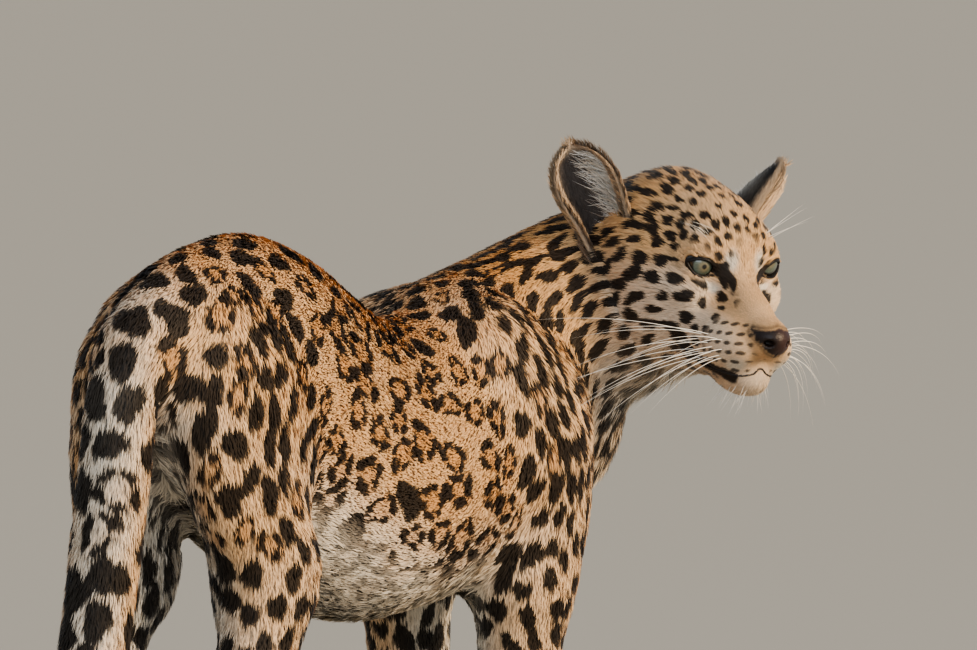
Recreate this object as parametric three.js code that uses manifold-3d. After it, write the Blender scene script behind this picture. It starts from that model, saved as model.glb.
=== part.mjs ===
// A leopard at life size, standing and looking back over its right shoulder.
// Millimetres, +Z up, the body along +X, its left side towards +Y. It stands on four flat soles at z = 0.
// The hide is one smooth function, distance(point), built from round limbs laid along stations and from
// ellipsoids, blended where they meet. Each piece meshes that function in its own box and is parted from
// its neighbours by thin cuts.
import * as THREE from 'three';
import Module from 'manifold-3d';
import { mergeVertices } from 'three/addons/utils/BufferGeometryUtils.js';

const wasm = await Module();
wasm.setup();

// Driving sizes
const GAP = 0.3;
const SOLE = 0;
const PAW_TOP = 60;
const BODY_CELL = 30;
const THIGH_CELL = 26;
const NECK_CELL = 23;
const LEG_CELL = 20;
const TAIL_SIDES = 14;
const PAW_CELL = 11.5;
const HEAD_CELL = 9;
const EYE_RADIUS = 15;
const LID = 2.4;
const HEAD_PLACE = [360, -174, 534];
const HEAD_YAW = -121;
const HEAD_PITCH = 11.5;
const HEAD_ROLL = 3.5;

// Stations along each form: x, y, z, half width, half height
const TRUNK = [
  [-382, 0, 512, 26, 28], [-355, 0, 508, 46, 56], [-315, 0, 502, 62, 84], [-260, 0, 493, 74, 104],
  [-200, 0, 480, 80, 120], [-130, 0, 455, 82, 128], [-60, 0, 424, 87, 128], [20, 0, 396, 94, 124],
  [90, 0, 392, 99, 120], [160, 0, 396, 98, 120], [230, 0, 406, 92, 116], [290, -6, 416, 80, 100],
  [335, -18, 420, 62, 78],
];
const NECK = [
  [222, 0, 440, 72, 88], [285, -12, 456, 72, 90], [335, -40, 480, 68, 86], [368, -78, 508, 62, 80],
  [378, -116, 530, 58, 74], [366, -142, 540, 54, 66],
];
const TAIL = [
  [-340, 0, 535, 30, 30], [-372, 0, 522, 31, 32], [-396, 0, 490, 30, 30], [-408, 1, 445, 29.5, 29.5],
  [-418, 4, 380, 29, 29], [-434, 8, 300, 28.5, 28.5], [-454, 12, 220, 27, 27], [-484, 16, 150, 26, 26],
  [-530, 20, 102, 25, 25], [-585, 22, 86, 24, 24], [-640, 20, 102, 22.5, 22.5], [-680, 16, 140, 20, 20],
  [-694, 14, 172, 14, 14],
];

// A hind leg: side is 1 on the left and -1 on the right, stride shifts its paw fore and aft
function hindLeg(side, stride) {
  const thigh = [
    [-292, 30 * side, 530, 32, 44], [-290, 38 * side, 502, 40, 70], [-284, 43 * side, 462, 42, 82],
    [-276 + stride * 0.1, 48 * side, 415, 41, 78], [-268 + stride * 0.2, 53 * side, 370, 38, 62],
    [-266 + stride * 0.3, 56 * side, 325, 35, 45],
  ];
  const shank = [
    [-264 + stride * 0.3, 58 * side, 345, 37, 48], [-288 + stride * 0.45, 60 * side, 290, 33, 43],
    [-326 + stride * 0.65, 61 * side, 230, 27, 34], [-356 + stride * 0.8, 62 * side, 178, 23, 29],
    [-366 + stride * 0.9, 62 * side, 148, 24, 30],
  ];
  const foot = [
    [-370 + stride * 0.9, 62 * side, 158, 23, 29], [-362 + stride * 0.95, 62 * side, 110, 24, 25],
    [-354 + stride, 63 * side, 62, 26, 26], [-348 + stride, 63 * side, 36, 29, 28],
  ];
  return { upper: thigh, lower: shank, foot, paw: [-334 + stride, 63 * side] };
}

// A foreleg: stride shifts its paw forward, stance is its distance from the middle
function foreLeg(side, stride, stance) {
  const upper = [
    [192, 50 * side, 488, 30, 42], [208, 60 * side, 452, 40, 62], [232 + stride * 0.15, 70 * side, 405, 46, 74],
    [240 + stride * 0.3, 70 * side, 358, 46, 68], [230 + stride * 0.5, (stance + 4) * side, 318, 42, 58],
    [218 + stride * 0.7, stance * side, 280, 39, 50],
  ];
  const lower = [
    [218 + stride * 0.7, stance * side, 290, 39, 50], [214 + stride * 0.8, stance * side, 240, 36, 45],
    [213 + stride * 0.9, stance * side, 180, 32, 38], [214 + stride * 0.95, stance * side, 120, 29, 33],
    [217 + stride, stance * side, 78, 29, 31], [222 + stride, stance * side, 44, 31, 32],
  ];
  return { upper, lower, paw: [236 + stride, stance * side] };
}

const LEGS = {
  hind_left: hindLeg(1, -30),
  hind_right: hindLeg(-1, 20),
  fore_left: foreLeg(1, 90, 60),
  fore_right: foreLeg(-1, 8, 68),
};

// Where the tail is parted, the opening of the eyes, the mouth, the nostrils and the ears
const TAIL_FIRST = 303;
const TAIL_BEND = { point: [-501, 17, 133], along: [-0.74, 0.06, -0.67] };
const OPENING_MIDDLE = -4.1;
const OPENING_HALF = 17.2;
const OPENING_TOP = 9.5;
const OPENING_BOTTOM = 8.5;
const NOSTRIL = [111, 9, -33];
const NOSTRIL_SIZE = [6, 3.4, 4];
const MOUTH_LINE = [[103, 0, -55], [98, 10, -63], [86, 22, -68], [70, 30, -67], [56, 33, -62], [46, 36, -56]];
const LIP_CLEFT = [[113, 0, -38], [108, 0, -46], [104, 0, -54]];
const LIP_GROOVE = 1.8;
const EAR_BASE = [-58, 46, 4];
const EAR_TIP_LEFT = [-54, 102, 78];
const EAR_TIP_RIGHT = [-75, 102, 84];
const EAR_FACE = [0.62, 0.76, 0.12];
const EAR_WALL = 5;
const EAR_THINNING = 0.45;
const EAR_BOW = 10;
const EAR_ROWS = 8;
const EAR_COLUMNS = 12;
// An ear's half width at its base and at its widest, how far up that is, and how round its tip is
const EAR_FOOT = 50;
const EAR_WIDEST = 41;
const EAR_WAIST = 0.45;
const EAR_ROUNDNESS = 2.2;
const EAR_NARROWEST = 7;
// How far an ear's edges curl, in degrees from its middle: at its base, and how much less at its tip
const EAR_CURL = 128;
const EAR_OPENING = 72;
const EAR_CURL_POWER = 0.8;

// How deep an eye's opening is cut, how finely its edge and the round cuts are drawn, and the lids' blend
const OPENING_DEPTH = 26;
const OPENING_SEGMENTS = 7;
const EYE_SIDES = [18, 12];
const NOSTRIL_SIDES = [10, 8];
const LIP_STEPS = 26;
const CLEFT_STEPS = 6;
const LID_BLEND = 7;

// A round form's end cap as a share of its least radius, the least slope a step onto a surface divides by,
// and how many cells a leg's mesh is taken past its box
const CAP = 0.8;
const LEAST_SLOPE = 0.05;
const PAST = 2.2;
const TORSO_BOX = [[-440, -170, 210], [440, 170, 650]];
const NECK_BOX = [[170, -320, 300], [480, 170, 660]];
const HEAD_BOX = [[-112, -96, -112], [136, 96, 96]];

// Small vector helpers on plain arrays
const add = (a, b) => [a[0] + b[0], a[1] + b[1], a[2] + b[2]];
const sub = (a, b) => [a[0] - b[0], a[1] - b[1], a[2] - b[2]];
const scale = (a, s) => [a[0] * s, a[1] * s, a[2] * s];
const dot = (a, b) => a[0] * b[0] + a[1] * b[1] + a[2] * b[2];
const cross = (a, b) => [a[1] * b[2] - a[2] * b[1], a[2] * b[0] - a[0] * b[2], a[0] * b[1] - a[1] * b[0]];
const unit = (a) => scale(a, 1 / Math.hypot(...a));
const without = (a, axis) => unit(sub(a, scale(axis, dot(a, axis))));
const blend = (a, b, t) => a.map((value, i) => value + (b[i] - value) * t);

// The head's own frame: forward, left and up as rows, turned by yaw, pitched down and rolled
const radians = THREE.MathUtils.degToRad;
const HEAD_AXES = (() => {
  const [yaw, pitch, roll] = [HEAD_YAW, HEAD_PITCH, HEAD_ROLL].map(radians);
  const forward = [Math.cos(yaw) * Math.cos(pitch), Math.sin(yaw) * Math.cos(pitch), -Math.sin(pitch)];
  const level = [-Math.sin(yaw), Math.cos(yaw), 0];
  const left = sub(scale(level, Math.cos(roll)), scale(cross(forward, level), Math.sin(roll)));
  return [forward, left, cross(forward, left)];
})();
const toHead = (p) => HEAD_AXES.map((axis) => dot(sub(p, HEAD_PLACE), axis));
const fromHead = (q) => HEAD_AXES.reduce((sum, axis, i) => add(sum, scale(axis, q[i])), HEAD_PLACE);
const headMatrix = new THREE.Matrix4()
  .makeBasis(...HEAD_AXES.map((axis) => new THREE.Vector3(...axis)))
  .setPosition(...HEAD_PLACE);

// A smooth least of two distances: the join is rounded over a width k
function smoothMin(a, b, k) {
  const h = Math.max(k - Math.abs(a - b), 0) / k;
  return Math.min(a, b) - h * h * k * 0.25;
}

// Distance to an ellipsoid, about right near its surface
function ellipsoid(p, centre, radii, pitch = 0) {
  let d = sub(p, centre);
  if (pitch) {
    const [c, s] = [Math.cos(radians(pitch)), Math.sin(radians(pitch))];
    d = [d[0] * c + d[2] * s, d[1], d[2] * c - d[0] * s];
  }
  const near = Math.hypot(d[0] / radii[0], d[1] / radii[1], d[2] / radii[2]);
  const slope = Math.hypot(d[0] / radii[0] ** 2, d[1] / radii[1] ** 2, d[2] / radii[2] ** 2);
  return slope > 1e-9 ? (near * (near - 1)) / slope : -Math.min(...radii);
}

// A smooth line through stations: each span is a cubic that leaves and meets its ends along their neighbours
function smoothLine(stations, steps) {
  const last = stations.length - 1;
  const ends = [
    stations[0].map((v, i) => 2 * v - stations[1][i]), ...stations,
    stations[last].map((v, i) => 2 * v - stations[last - 1][i]),
  ];
  const line = [];
  for (let span = 0; span < last; span += 1) {
    const [a, b, c, d] = ends.slice(span, span + 4);
    for (let step = 0; step < steps; step += 1) {
      const t = step / steps;
      line.push(b.map((v, i) => 0.5 * (2 * v + (c[i] - a[i]) * t + (2 * a[i] - 5 * v + 4 * c[i] - d[i]) * t * t
        + (3 * v - a[i] - 3 * c[i] + d[i]) * t * t * t)));
    }
  }
  line.push(stations[last]);
  return line;
}

// The line through stations, with its direction and its sideways direction at each step
function framedLine(stations, steps, side, sideEnd = side) {
  const line = smoothLine(stations, steps);
  const last = line.length - 1;
  const tangents = line.map((_, i) => unit(sub(line[Math.min(i + 1, last)], line[Math.max(i - 1, 0)])));
  const sides = tangents.map((tangent, i) => without(blend(side, sideEnd, i / last), tangent));
  return { line, last, tangents, sides };
}

// A round form along stations: returns its distance function. pear narrows its top and widens its bottom.
function limb(stations, { steps = 4, side = [0, 1, 0], sideEnd = side, pear = 0 } = {}) {
  const { line, last, tangents, sides } = framedLine(stations, steps, side, sideEnd);
  const spans = line.slice(1).map((point, i) => sub(point, line[i]));
  const lengths = spans.map((span) => dot(span, span));
  return (p) => {
    let best = Infinity;
    let at = 0;
    let part = 0;
    for (let i = 0; i < last; i += 1) {
      const offset = sub(p, line[i]);
      const t = Math.min(Math.max(dot(offset, spans[i]) / lengths[i], 0), 1);
      const miss = sub(offset, scale(spans[i], t));
      const far = dot(miss, miss);
      if (far < best) {
        [best, at, part] = [far, i, t];
      }
    }
    const station = blend(line[at], line[at + 1], part);
    const tangent = blend(tangents[at], tangents[at + 1], part);
    const across = blend(sides[at], sides[at + 1], part);
    const d = sub(p, station);
    const v = dot(d, cross(tangent, across));
    const height = station[4];
    const width = station[3] * (1 - pear * Math.min(Math.max(v / height, -1), 1));
    const cap = Math.min(station[3], height) * CAP;
    const inside = at + part > 1e-6 && at + part < last - 1e-6;
    const u = dot(d, across);
    const w = inside ? 0 : dot(d, tangent);
    const near = Math.hypot(u / width, v / height, w / cap);
    const slope = Math.hypot(u / width ** 2, v / height ** 2, w / cap ** 2);
    return slope > 1e-9 ? (near * (near - 1)) / slope : -cap;
  };
}

// The eye in the head's frame: its centre, the corners of its opening, and the axes of the opening
const EYE = [26.5, 32.5, 14.5];
const INNER_CORNER = [45, 22, 7];
const OUTER_CORNER = [27, 48, 15];
const EYE_ACROSS = unit(sub(OUTER_CORNER, INNER_CORNER));
const EYE_OUT = without([0.8, 0.55, -0.1], EYE_ACROSS);
const EYE_UP = cross(EYE_OUT, EYE_ACROSS);
const mirror = (p, side) => [p[0], p[1] * side, p[2]];

// The head without its ears: centre, radii, pitch and blend of each form, mirrored left to right
const HEAD_FORMS = [
  { centre: [-36, 0, 11], radii: [70, 55, 60], k: 1 },
  { centre: [-12, 34, -26], radii: [52, 34, 50], k: 34 },
  { centre: [12, 0, 26], radii: [42, 38, 35], pitch: -30, k: 22 },
  { centre: [24, 25, 27], radii: [20, 19, 14], pitch: -18, k: 12 },
  { centre: [18, 39, -8], radii: [28, 15, 15], pitch: -12, k: 16 },
  { centre: [68, 0, -19], radii: [46, 18, 18], pitch: -30, k: 20 },
  { centre: [71, 17, -44], radii: [27, 18, 19], k: 16 },
  { centre: [97, 0, -31], radii: [17, 17, 14], k: 9 },
  { centre: [48, 24, -44], radii: [34, 21, 22], k: 20 },
  { centre: [34, 0, -59], radii: [56, 31, 20], k: 16 },
  { centre: [72, 0, -71], radii: [24, 20, 15], k: 12 },
  { centre: [-34, 24, -46], radii: [48, 32, 34], k: 30 },
];
function headDistance(q) {
  const m = [q[0], Math.abs(q[1]), q[2]];
  let d = Infinity;
  for (const form of HEAD_FORMS) {
    d = smoothMin(d, ellipsoid(m, form.centre, form.radii, form.pitch), form.k);
  }
  const lids = Math.hypot(...sub(m, EYE)) - EYE_RADIUS - LID;
  return smoothMin(d, lids, LID_BLEND);
}

const trunk = limb(TRUNK, { pear: 0.16 });
const neck = limb(NECK, { sideEnd: HEAD_AXES[1] });
const CHEST = { centre: [365, -50, 405], radii: [52, 42, 60] };
const legs = Object.entries(LEGS).map(([name, leg]) => ({
  upper: limb(leg.upper),
  lower: limb(leg.lower),
  foot: leg.foot ? limb(leg.foot) : null,
  paw: leg.paw,
  hind: name.startsWith('hind'),
}));

// A paw: the ball of the foot and four toes, the two middle ones further forward
function pawDistance(p, [x, y]) {
  let d = ellipsoid(p, [x + 2, y, 26], [34, 33, 27]);
  [[-1.5, 22], [-0.5, 33], [0.5, 34], [1.5, 24]].forEach(([place, reach]) => {
    d = smoothMin(d, ellipsoid(p, [x + reach, y + place * 17, 15], [21, 12.5, 18]), 6);
  });
  return d;
}

// The whole animal but its tail
function distance(p) {
  let d = smoothMin(trunk(p), neck(p), 40);
  d = smoothMin(d, ellipsoid(p, CHEST.centre, CHEST.radii), 34);
  for (const leg of legs) {
    let limbs = smoothMin(leg.upper(p), leg.lower(p), leg.hind ? 26 : 22);
    if (leg.foot) limbs = smoothMin(limbs, leg.foot(p), 14);
    d = smoothMin(d, limbs, leg.hind ? 30 : 32);
    d = smoothMin(d, pawDistance(p, leg.paw), 12);
  }
  return smoothMin(d, headDistance(toHead(p)), 34);
}
const distanceFromHead = (q) => distance(fromHead(q));

// The direction in which a distance grows, by small differences
function gradient(field, p) {
  const e = 0.5;
  return [[e, 0, 0], [0, e, 0], [0, 0, e]].map((step) => field(add(p, step)) - field(sub(p, step)));
}

// Meshes a distance field in a box: one point for each cell that the surface crosses, at the mean of the
// crossings on the cell's edges, then moved onto the surface, and one quad for each grid edge it crosses
function meshField(field, low, high, cell) {
  const counts = low.map((v, i) => Math.ceil((high[i] - v) / cell) + 1);
  const at = (i, j, k) => (i * counts[1] + j) * counts[2] + k;
  const place = (i, j, k) => [low[0] + i * cell, low[1] + j * cell, low[2] + k * cell];
  const values = new Float64Array(counts[0] * counts[1] * counts[2]);
  for (let i = 0; i < counts[0]; i += 1) {
    for (let j = 0; j < counts[1]; j += 1) {
      for (let k = 0; k < counts[2]; k += 1) {
        const edge = [i, j, k].some((number, axis) => number === 0 || number === counts[axis] - 1);
        const value = field(place(i, j, k));
        values[at(i, j, k)] = edge ? Math.max(value, cell * 0.4) : value;
      }
    }
  }
  const corners = [[0, 0, 0], [1, 0, 0], [0, 1, 0], [1, 1, 0], [0, 0, 1], [1, 0, 1], [0, 1, 1], [1, 1, 1]];
  const edges = [[0, 1], [2, 3], [4, 5], [6, 7], [0, 2], [1, 3], [4, 6], [5, 7], [0, 4], [1, 5], [2, 6], [3, 7]];
  const points = [];
  const numbers = new Int32Array(values.length).fill(-1);
  for (let i = 0; i < counts[0] - 1; i += 1) {
    for (let j = 0; j < counts[1] - 1; j += 1) {
      for (let k = 0; k < counts[2] - 1; k += 1) {
        const local = corners.map(([a, b, c]) => values[at(i + a, j + b, k + c)]);
        const crossings = edges.filter(([a, b]) => (local[a] < 0) !== (local[b] < 0)).map(([a, b]) => (
          blend(corners[a], corners[b], local[a] / (local[a] - local[b]))));
        if (crossings.length === 0) continue;
        const mean = scale(crossings.reduce(add, [0, 0, 0]), 1 / crossings.length);
        numbers[at(i, j, k)] = points.length;
        points.push(place(i + mean[0], j + mean[1], k + mean[2]));
      }
    }
  }
  for (const point of points) {
    const inRim = point.some((v, i) => v < low[i] + cell || v > low[i] + cell * (counts[i] - 2));
    for (let turn = 0; turn < 2 && !inRim; turn += 1) {
      const slope = gradient(field, point);
      const size = dot(slope, slope);
      const step = Math.max(Math.min(field(point) / Math.max(size, LEAST_SLOPE), cell * 0.25), -cell * 0.25);
      point.splice(0, 3, ...sub(point, scale(slope, step)));
    }
  }
  const triangles = [];
  const quad = (a, b, c, d, flip) => {
    const [q, r] = [sub(points[a], points[c]), sub(points[b], points[d])];
    const split = dot(q, q) < dot(r, r) ? [[a, b, c], [a, c, d]] : [[a, b, d], [b, c, d]];
    split.forEach(([x, y, z]) => triangles.push(...(flip ? [x, z, y] : [x, y, z])));
  };
  for (let i = 0; i < counts[0] - 1; i += 1) {
    for (let j = 0; j < counts[1] - 1; j += 1) {
      for (let k = 0; k < counts[2] - 1; k += 1) {
        const here = values[at(i, j, k)] < 0;
        const n = (a, b, c) => numbers[at(i + a, j + b, k + c)];
        if (j && k && here !== values[at(i + 1, j, k)] < 0) {
          quad(n(0, -1, -1), n(0, 0, -1), n(0, 0, 0), n(0, -1, 0), !here);
        }
        if (i && k && here !== values[at(i, j + 1, k)] < 0) {
          quad(n(-1, 0, -1), n(-1, 0, 0), n(0, 0, 0), n(0, 0, -1), !here);
        }
        if (i && j && here !== values[at(i, j, k + 1)] < 0) {
          quad(n(-1, -1, 0), n(0, -1, 0), n(0, 0, 0), n(-1, 0, 0), !here);
        }
      }
    }
  }
  return { points, triangles };
}

// A round form along stations as rings of points, closed by a point at each end
function loft(stations, steps, around) {
  const { line, last, tangents, sides } = framedLine(stations, steps, [0, 1, 0]);
  const points = [];
  const triangles = [];
  line.forEach((station, ring) => {
    const up = cross(tangents[ring], sides[ring]);
    for (let i = 0; i < around; i += 1) {
      const turn = (2 * Math.PI * i) / around;
      const across = scale(sides[ring], station[3] * Math.cos(turn));
      points.push(add(station, add(across, scale(up, station[4] * Math.sin(turn)))));
      const [here, next] = [ring * around + i, ring * around + ((i + 1) % around)];
      if (ring < last) triangles.push(here, next, next + around, here, next + around, here + around);
    }
  });
  const round = points.length;
  points.push(sub(line[0], scale(tangents[0], line[0][3] * 0.5)));
  points.push(add(line[last], scale(tangents[last], line[last][3] * 0.7)));
  for (let i = 0; i < around; i += 1) {
    const next = (i + 1) % around;
    triangles.push(round, next, i, round + 1, last * around + i, last * around + next);
  }
  return { points, triangles };
}

// Solids: from points and triangles, and from a three.js geometry placed by a matrix
function solid({ points, triangles }) {
  const mesh = new wasm.Mesh({
    numProp: 3,
    vertProperties: new Float32Array(points.flat()),
    triVerts: new Uint32Array(triangles),
  });
  return new wasm.Manifold(mesh);
}
function solidFrom(geometry, matrix = new THREE.Matrix4()) {
  geometry.deleteAttribute('normal');
  geometry.deleteAttribute('uv');
  const merged = mergeVertices(geometry, 1e-3);
  merged.applyMatrix4(matrix);
  const position = merged.getAttribute('position');
  const points = Array.from({ length: position.count }, (_, i) => (
    [position.getX(i), position.getY(i), position.getZ(i)]));
  return solid({ points, triangles: Array.from(merged.index.array) });
}
// A box between two corners, grown by a margin on every face, in the frame of a matrix
function block(low, high, grow = 0, matrix = new THREE.Matrix4()) {
  const size = sub(high, low).map((v) => v + 2 * grow);
  const middle = scale(add(low, high), 0.5);
  const geometry = new THREE.BoxGeometry(...size).translate(...middle);
  return solidFrom(geometry, matrix);
}
// The frame whose +X runs along a direction from a point
function frameAlong(point, direction) {
  const x = unit(direction);
  const y = without([0, 1, 0.001], x);
  return new THREE.Matrix4()
    .makeBasis(new THREE.Vector3(...x), new THREE.Vector3(...y), new THREE.Vector3(...cross(x, y)))
    .setPosition(...point);
}
// The largest closed piece of a solid
function largest(shape) {
  return shape.decompose().sort((a, b) => b.volume() - a.volume())[0];
}

// Cutters between the pieces: each is the space that the named piece fills
const REACH = 420;
const WIDE = 800;
const TALL = 900;
const BELLY = 240;
const TIP_REACH = 300;
const TIP_WIDTH = 220;
const NECK_PLANE = frameAlong([300, -20, 462], [0.87, -0.42, 0.33]);
const HEAD_PLANE = frameAlong(fromHead([-60, 0, 0]), sub(fromHead([1, 0, 0.25]), fromHead([0, 0, 0])));
const HEAD_SPAN = [[0, -140, -105], [260, 140, 140]];
const FORE_TOP = 300;
const HIND_TOP = 500;
const STIFLE = 292;
const MIDDLE = 16;
const LEG_OUT = 170;
const FORE_BACK = 128;
const FORE_FRONT = 420;
const HIND_BACK = -480;
const HIND_FRONT = -222;
const sided = (side, low, high) => (side > 0 ? [low, high] : [mirror(low, -1), mirror(high, -1)].map(
  (v, i, both) => [v[0], both[1 - i][1], v[2]]));
const foreBox = (side, bottom, top) => sided(side, [FORE_BACK, MIDDLE, bottom], [FORE_FRONT, LEG_OUT, top]);
const hindBox = (side, bottom, top) => sided(side, [HIND_BACK, MIDDLE, bottom], [HIND_FRONT, LEG_OUT, top]);

// A field's mesh moved out along the field, so that what is cut by it keeps a gap
function grown(field, mesh) {
  const points = mesh.points.map((p) => add(p, scale(unit(gradient(field, p)), GAP * 1.2)));
  return solid({ points, triangles: mesh.triangles });
}
// A closed round bar of a few sides along points in the head's frame
function bar(points, radius, steps) {
  const path = new THREE.CatmullRomCurve3(points.map((p) => new THREE.Vector3(...p)));
  const section = new THREE.Shape().absarc(0, 0, radius, 0, Math.PI * 2);
  return solidFrom(new THREE.ExtrudeGeometry(section, { steps, curveSegments: 2, extrudePath: path }), headMatrix);
}
// A point moved onto the head's surface
function ontoHead(q) {
  let p = q;
  for (let turn = 0; turn < 3; turn += 1) {
    const slope = gradient(headDistance, p);
    p = sub(p, scale(slope, headDistance(p) / Math.max(dot(slope, slope), LEAST_SLOPE)));
  }
  return p;
}
// A ball in the head's frame
function ball(centre, radii, around, along) {
  const geometry = new THREE.SphereGeometry(1, around, along).scale(...radii).translate(...centre);
  return solidFrom(geometry, headMatrix);
}

const pieces = {};
const half = GAP / 2;

// Torso
const torsoMesh = meshField(distance, ...TORSO_BOX, BODY_CELL);
let torso = solid(torsoMesh)
  .subtract(block([0, -REACH, -REACH], [REACH, REACH, REACH], half, NECK_PLANE))
  .subtract(block([-WIDE, -REACH, -REACH], [WIDE, REACH, BELLY]));
for (const side of [1, -1]) {
  torso = torso.subtract(block(...foreBox(side, 0, FORE_TOP), half));
  torso = torso.subtract(block(...hindBox(side, 0, HIND_TOP), half));
}
pieces.torso = largest(torso);

// Neck
const headSpace = block(...HEAD_SPAN, half, HEAD_PLANE);
const neckMesh = meshField(distance, ...NECK_BOX, NECK_CELL);
pieces.neck = largest(solid(neckMesh)
  .intersect(block([0, -REACH, -REACH], [REACH, REACH, REACH], -half, NECK_PLANE))
  .subtract(headSpace));

// Legs and paws
const clear = [];
for (const [name, side] of [['left', 1], ['right', -1]]) {
  const cut = (box, cell, onFloor) => {
    const [low, high] = box;
    const past = [cell * PAST, cell * PAST, cell * PAST];
    const mesh = meshField(distance, sub(low, past), add(high, past), cell);
    const inner = [add(low, [half, half, onFloor ? 0 : half]), sub(high, [half, half, half])];
    return { mesh, piece: largest(solid(mesh).intersect(block(...inner))) };
  };
  const thigh = cut(hindBox(side, STIFLE, HIND_TOP), THIGH_CELL, false);
  clear.push(thigh.mesh);
  pieces[`foreleg_${name}`] = cut(foreBox(side, PAW_TOP, FORE_TOP), LEG_CELL, false).piece;
  pieces[`forepaw_${name}`] = cut(foreBox(side, SOLE, PAW_TOP), PAW_CELL, true).piece;
  pieces[`thigh_${name}`] = thigh.piece;
  pieces[`hind_leg_${name}`] = cut(hindBox(side, PAW_TOP, STIFLE), LEG_CELL, false).piece;
  pieces[`hind_paw_${name}`] = cut(hindBox(side, SOLE, PAW_TOP), PAW_CELL, true).piece;
}

// Tail, parted from the rump by the rump's own surface, then into three lengths
let tailWhole = solid(loft(TAIL, 2, TAIL_SIDES));
for (const mesh of [torsoMesh, ...clear]) tailWhole = tailWhole.subtract(grown(distance, mesh));
tailWhole = largest(tailWhole);
const tailBend = frameAlong(TAIL_BEND.point, TAIL_BEND.along);
const tailEnd = (grow) => block([0, -TIP_WIDTH, -TIP_WIDTH], [TIP_REACH, TIP_WIDTH, TIP_WIDTH], grow, tailBend);
const tailTop = (grow) => block([-WIDE, -REACH, TAIL_FIRST], [0, REACH, TALL], grow);
pieces.tail_base = largest(tailWhole.intersect(tailTop(-half)));
pieces.tail_middle = largest(tailWhole.subtract(tailTop(half)).subtract(tailEnd(half)));
pieces.tail_tip = largest(tailWhole.intersect(tailEnd(-half)));

// Head: the blended forms with eye openings, sockets, mouth line, groove under the nose, and nostrils cut in
const headMesh = meshField(distanceFromHead, ...HEAD_BOX, HEAD_CELL);
headMesh.points = headMesh.points.map(fromHead);
let head = solid(headMesh).intersect(block(...HEAD_SPAN, -half, HEAD_PLANE));
for (const side of [1, -1]) {
  const opening = new THREE.Shape();
  const [inner, outer] = [OPENING_MIDDLE - OPENING_HALF, OPENING_MIDDLE + OPENING_HALF].map((v) => v * side);
  opening.moveTo(inner, 0);
  opening.quadraticCurveTo(OPENING_MIDDLE * side, OPENING_TOP * 2, outer, 0);
  opening.quadraticCurveTo(OPENING_MIDDLE * side, -OPENING_BOTTOM * 2, inner, 0);
  const prism = new THREE.ExtrudeGeometry(opening, {
    depth: OPENING_DEPTH, curveSegments: OPENING_SEGMENTS, bevelEnabled: false,
  });
  const placed = new THREE.Matrix4()
    .makeBasis(...[scale(mirror(EYE_ACROSS, side), side), mirror(EYE_UP, side), mirror(EYE_OUT, side)].map(
      (axis) => new THREE.Vector3(...axis)))
    .setPosition(...mirror(EYE, side));
  head = head.subtract(solidFrom(prism, headMatrix.clone().multiply(placed)));
  const socket = EYE_RADIUS + GAP;
  head = head.subtract(ball(mirror(EYE, side), [socket, socket, socket], ...EYE_SIDES));
  head = head.subtract(ball(mirror(NOSTRIL, side), NOSTRIL_SIZE, ...NOSTRIL_SIDES));
  const eyeName = side > 0 ? 'eye_left' : 'eye_right';
  pieces[eyeName] = ball(mirror(EYE, side), [EYE_RADIUS, EYE_RADIUS, EYE_RADIUS], ...EYE_SIDES);
}
const lips = [...MOUTH_LINE.slice(1).reverse().map((p) => mirror(p, -1)), ...MOUTH_LINE].map(ontoHead);
head = head.subtract(bar(lips, LIP_GROOVE, LIP_STEPS));
head = head.subtract(bar(LIP_CLEFT.map(ontoHead), LIP_GROOVE * CAP, CLEFT_STEPS));
pieces.head = largest(head);

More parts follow.
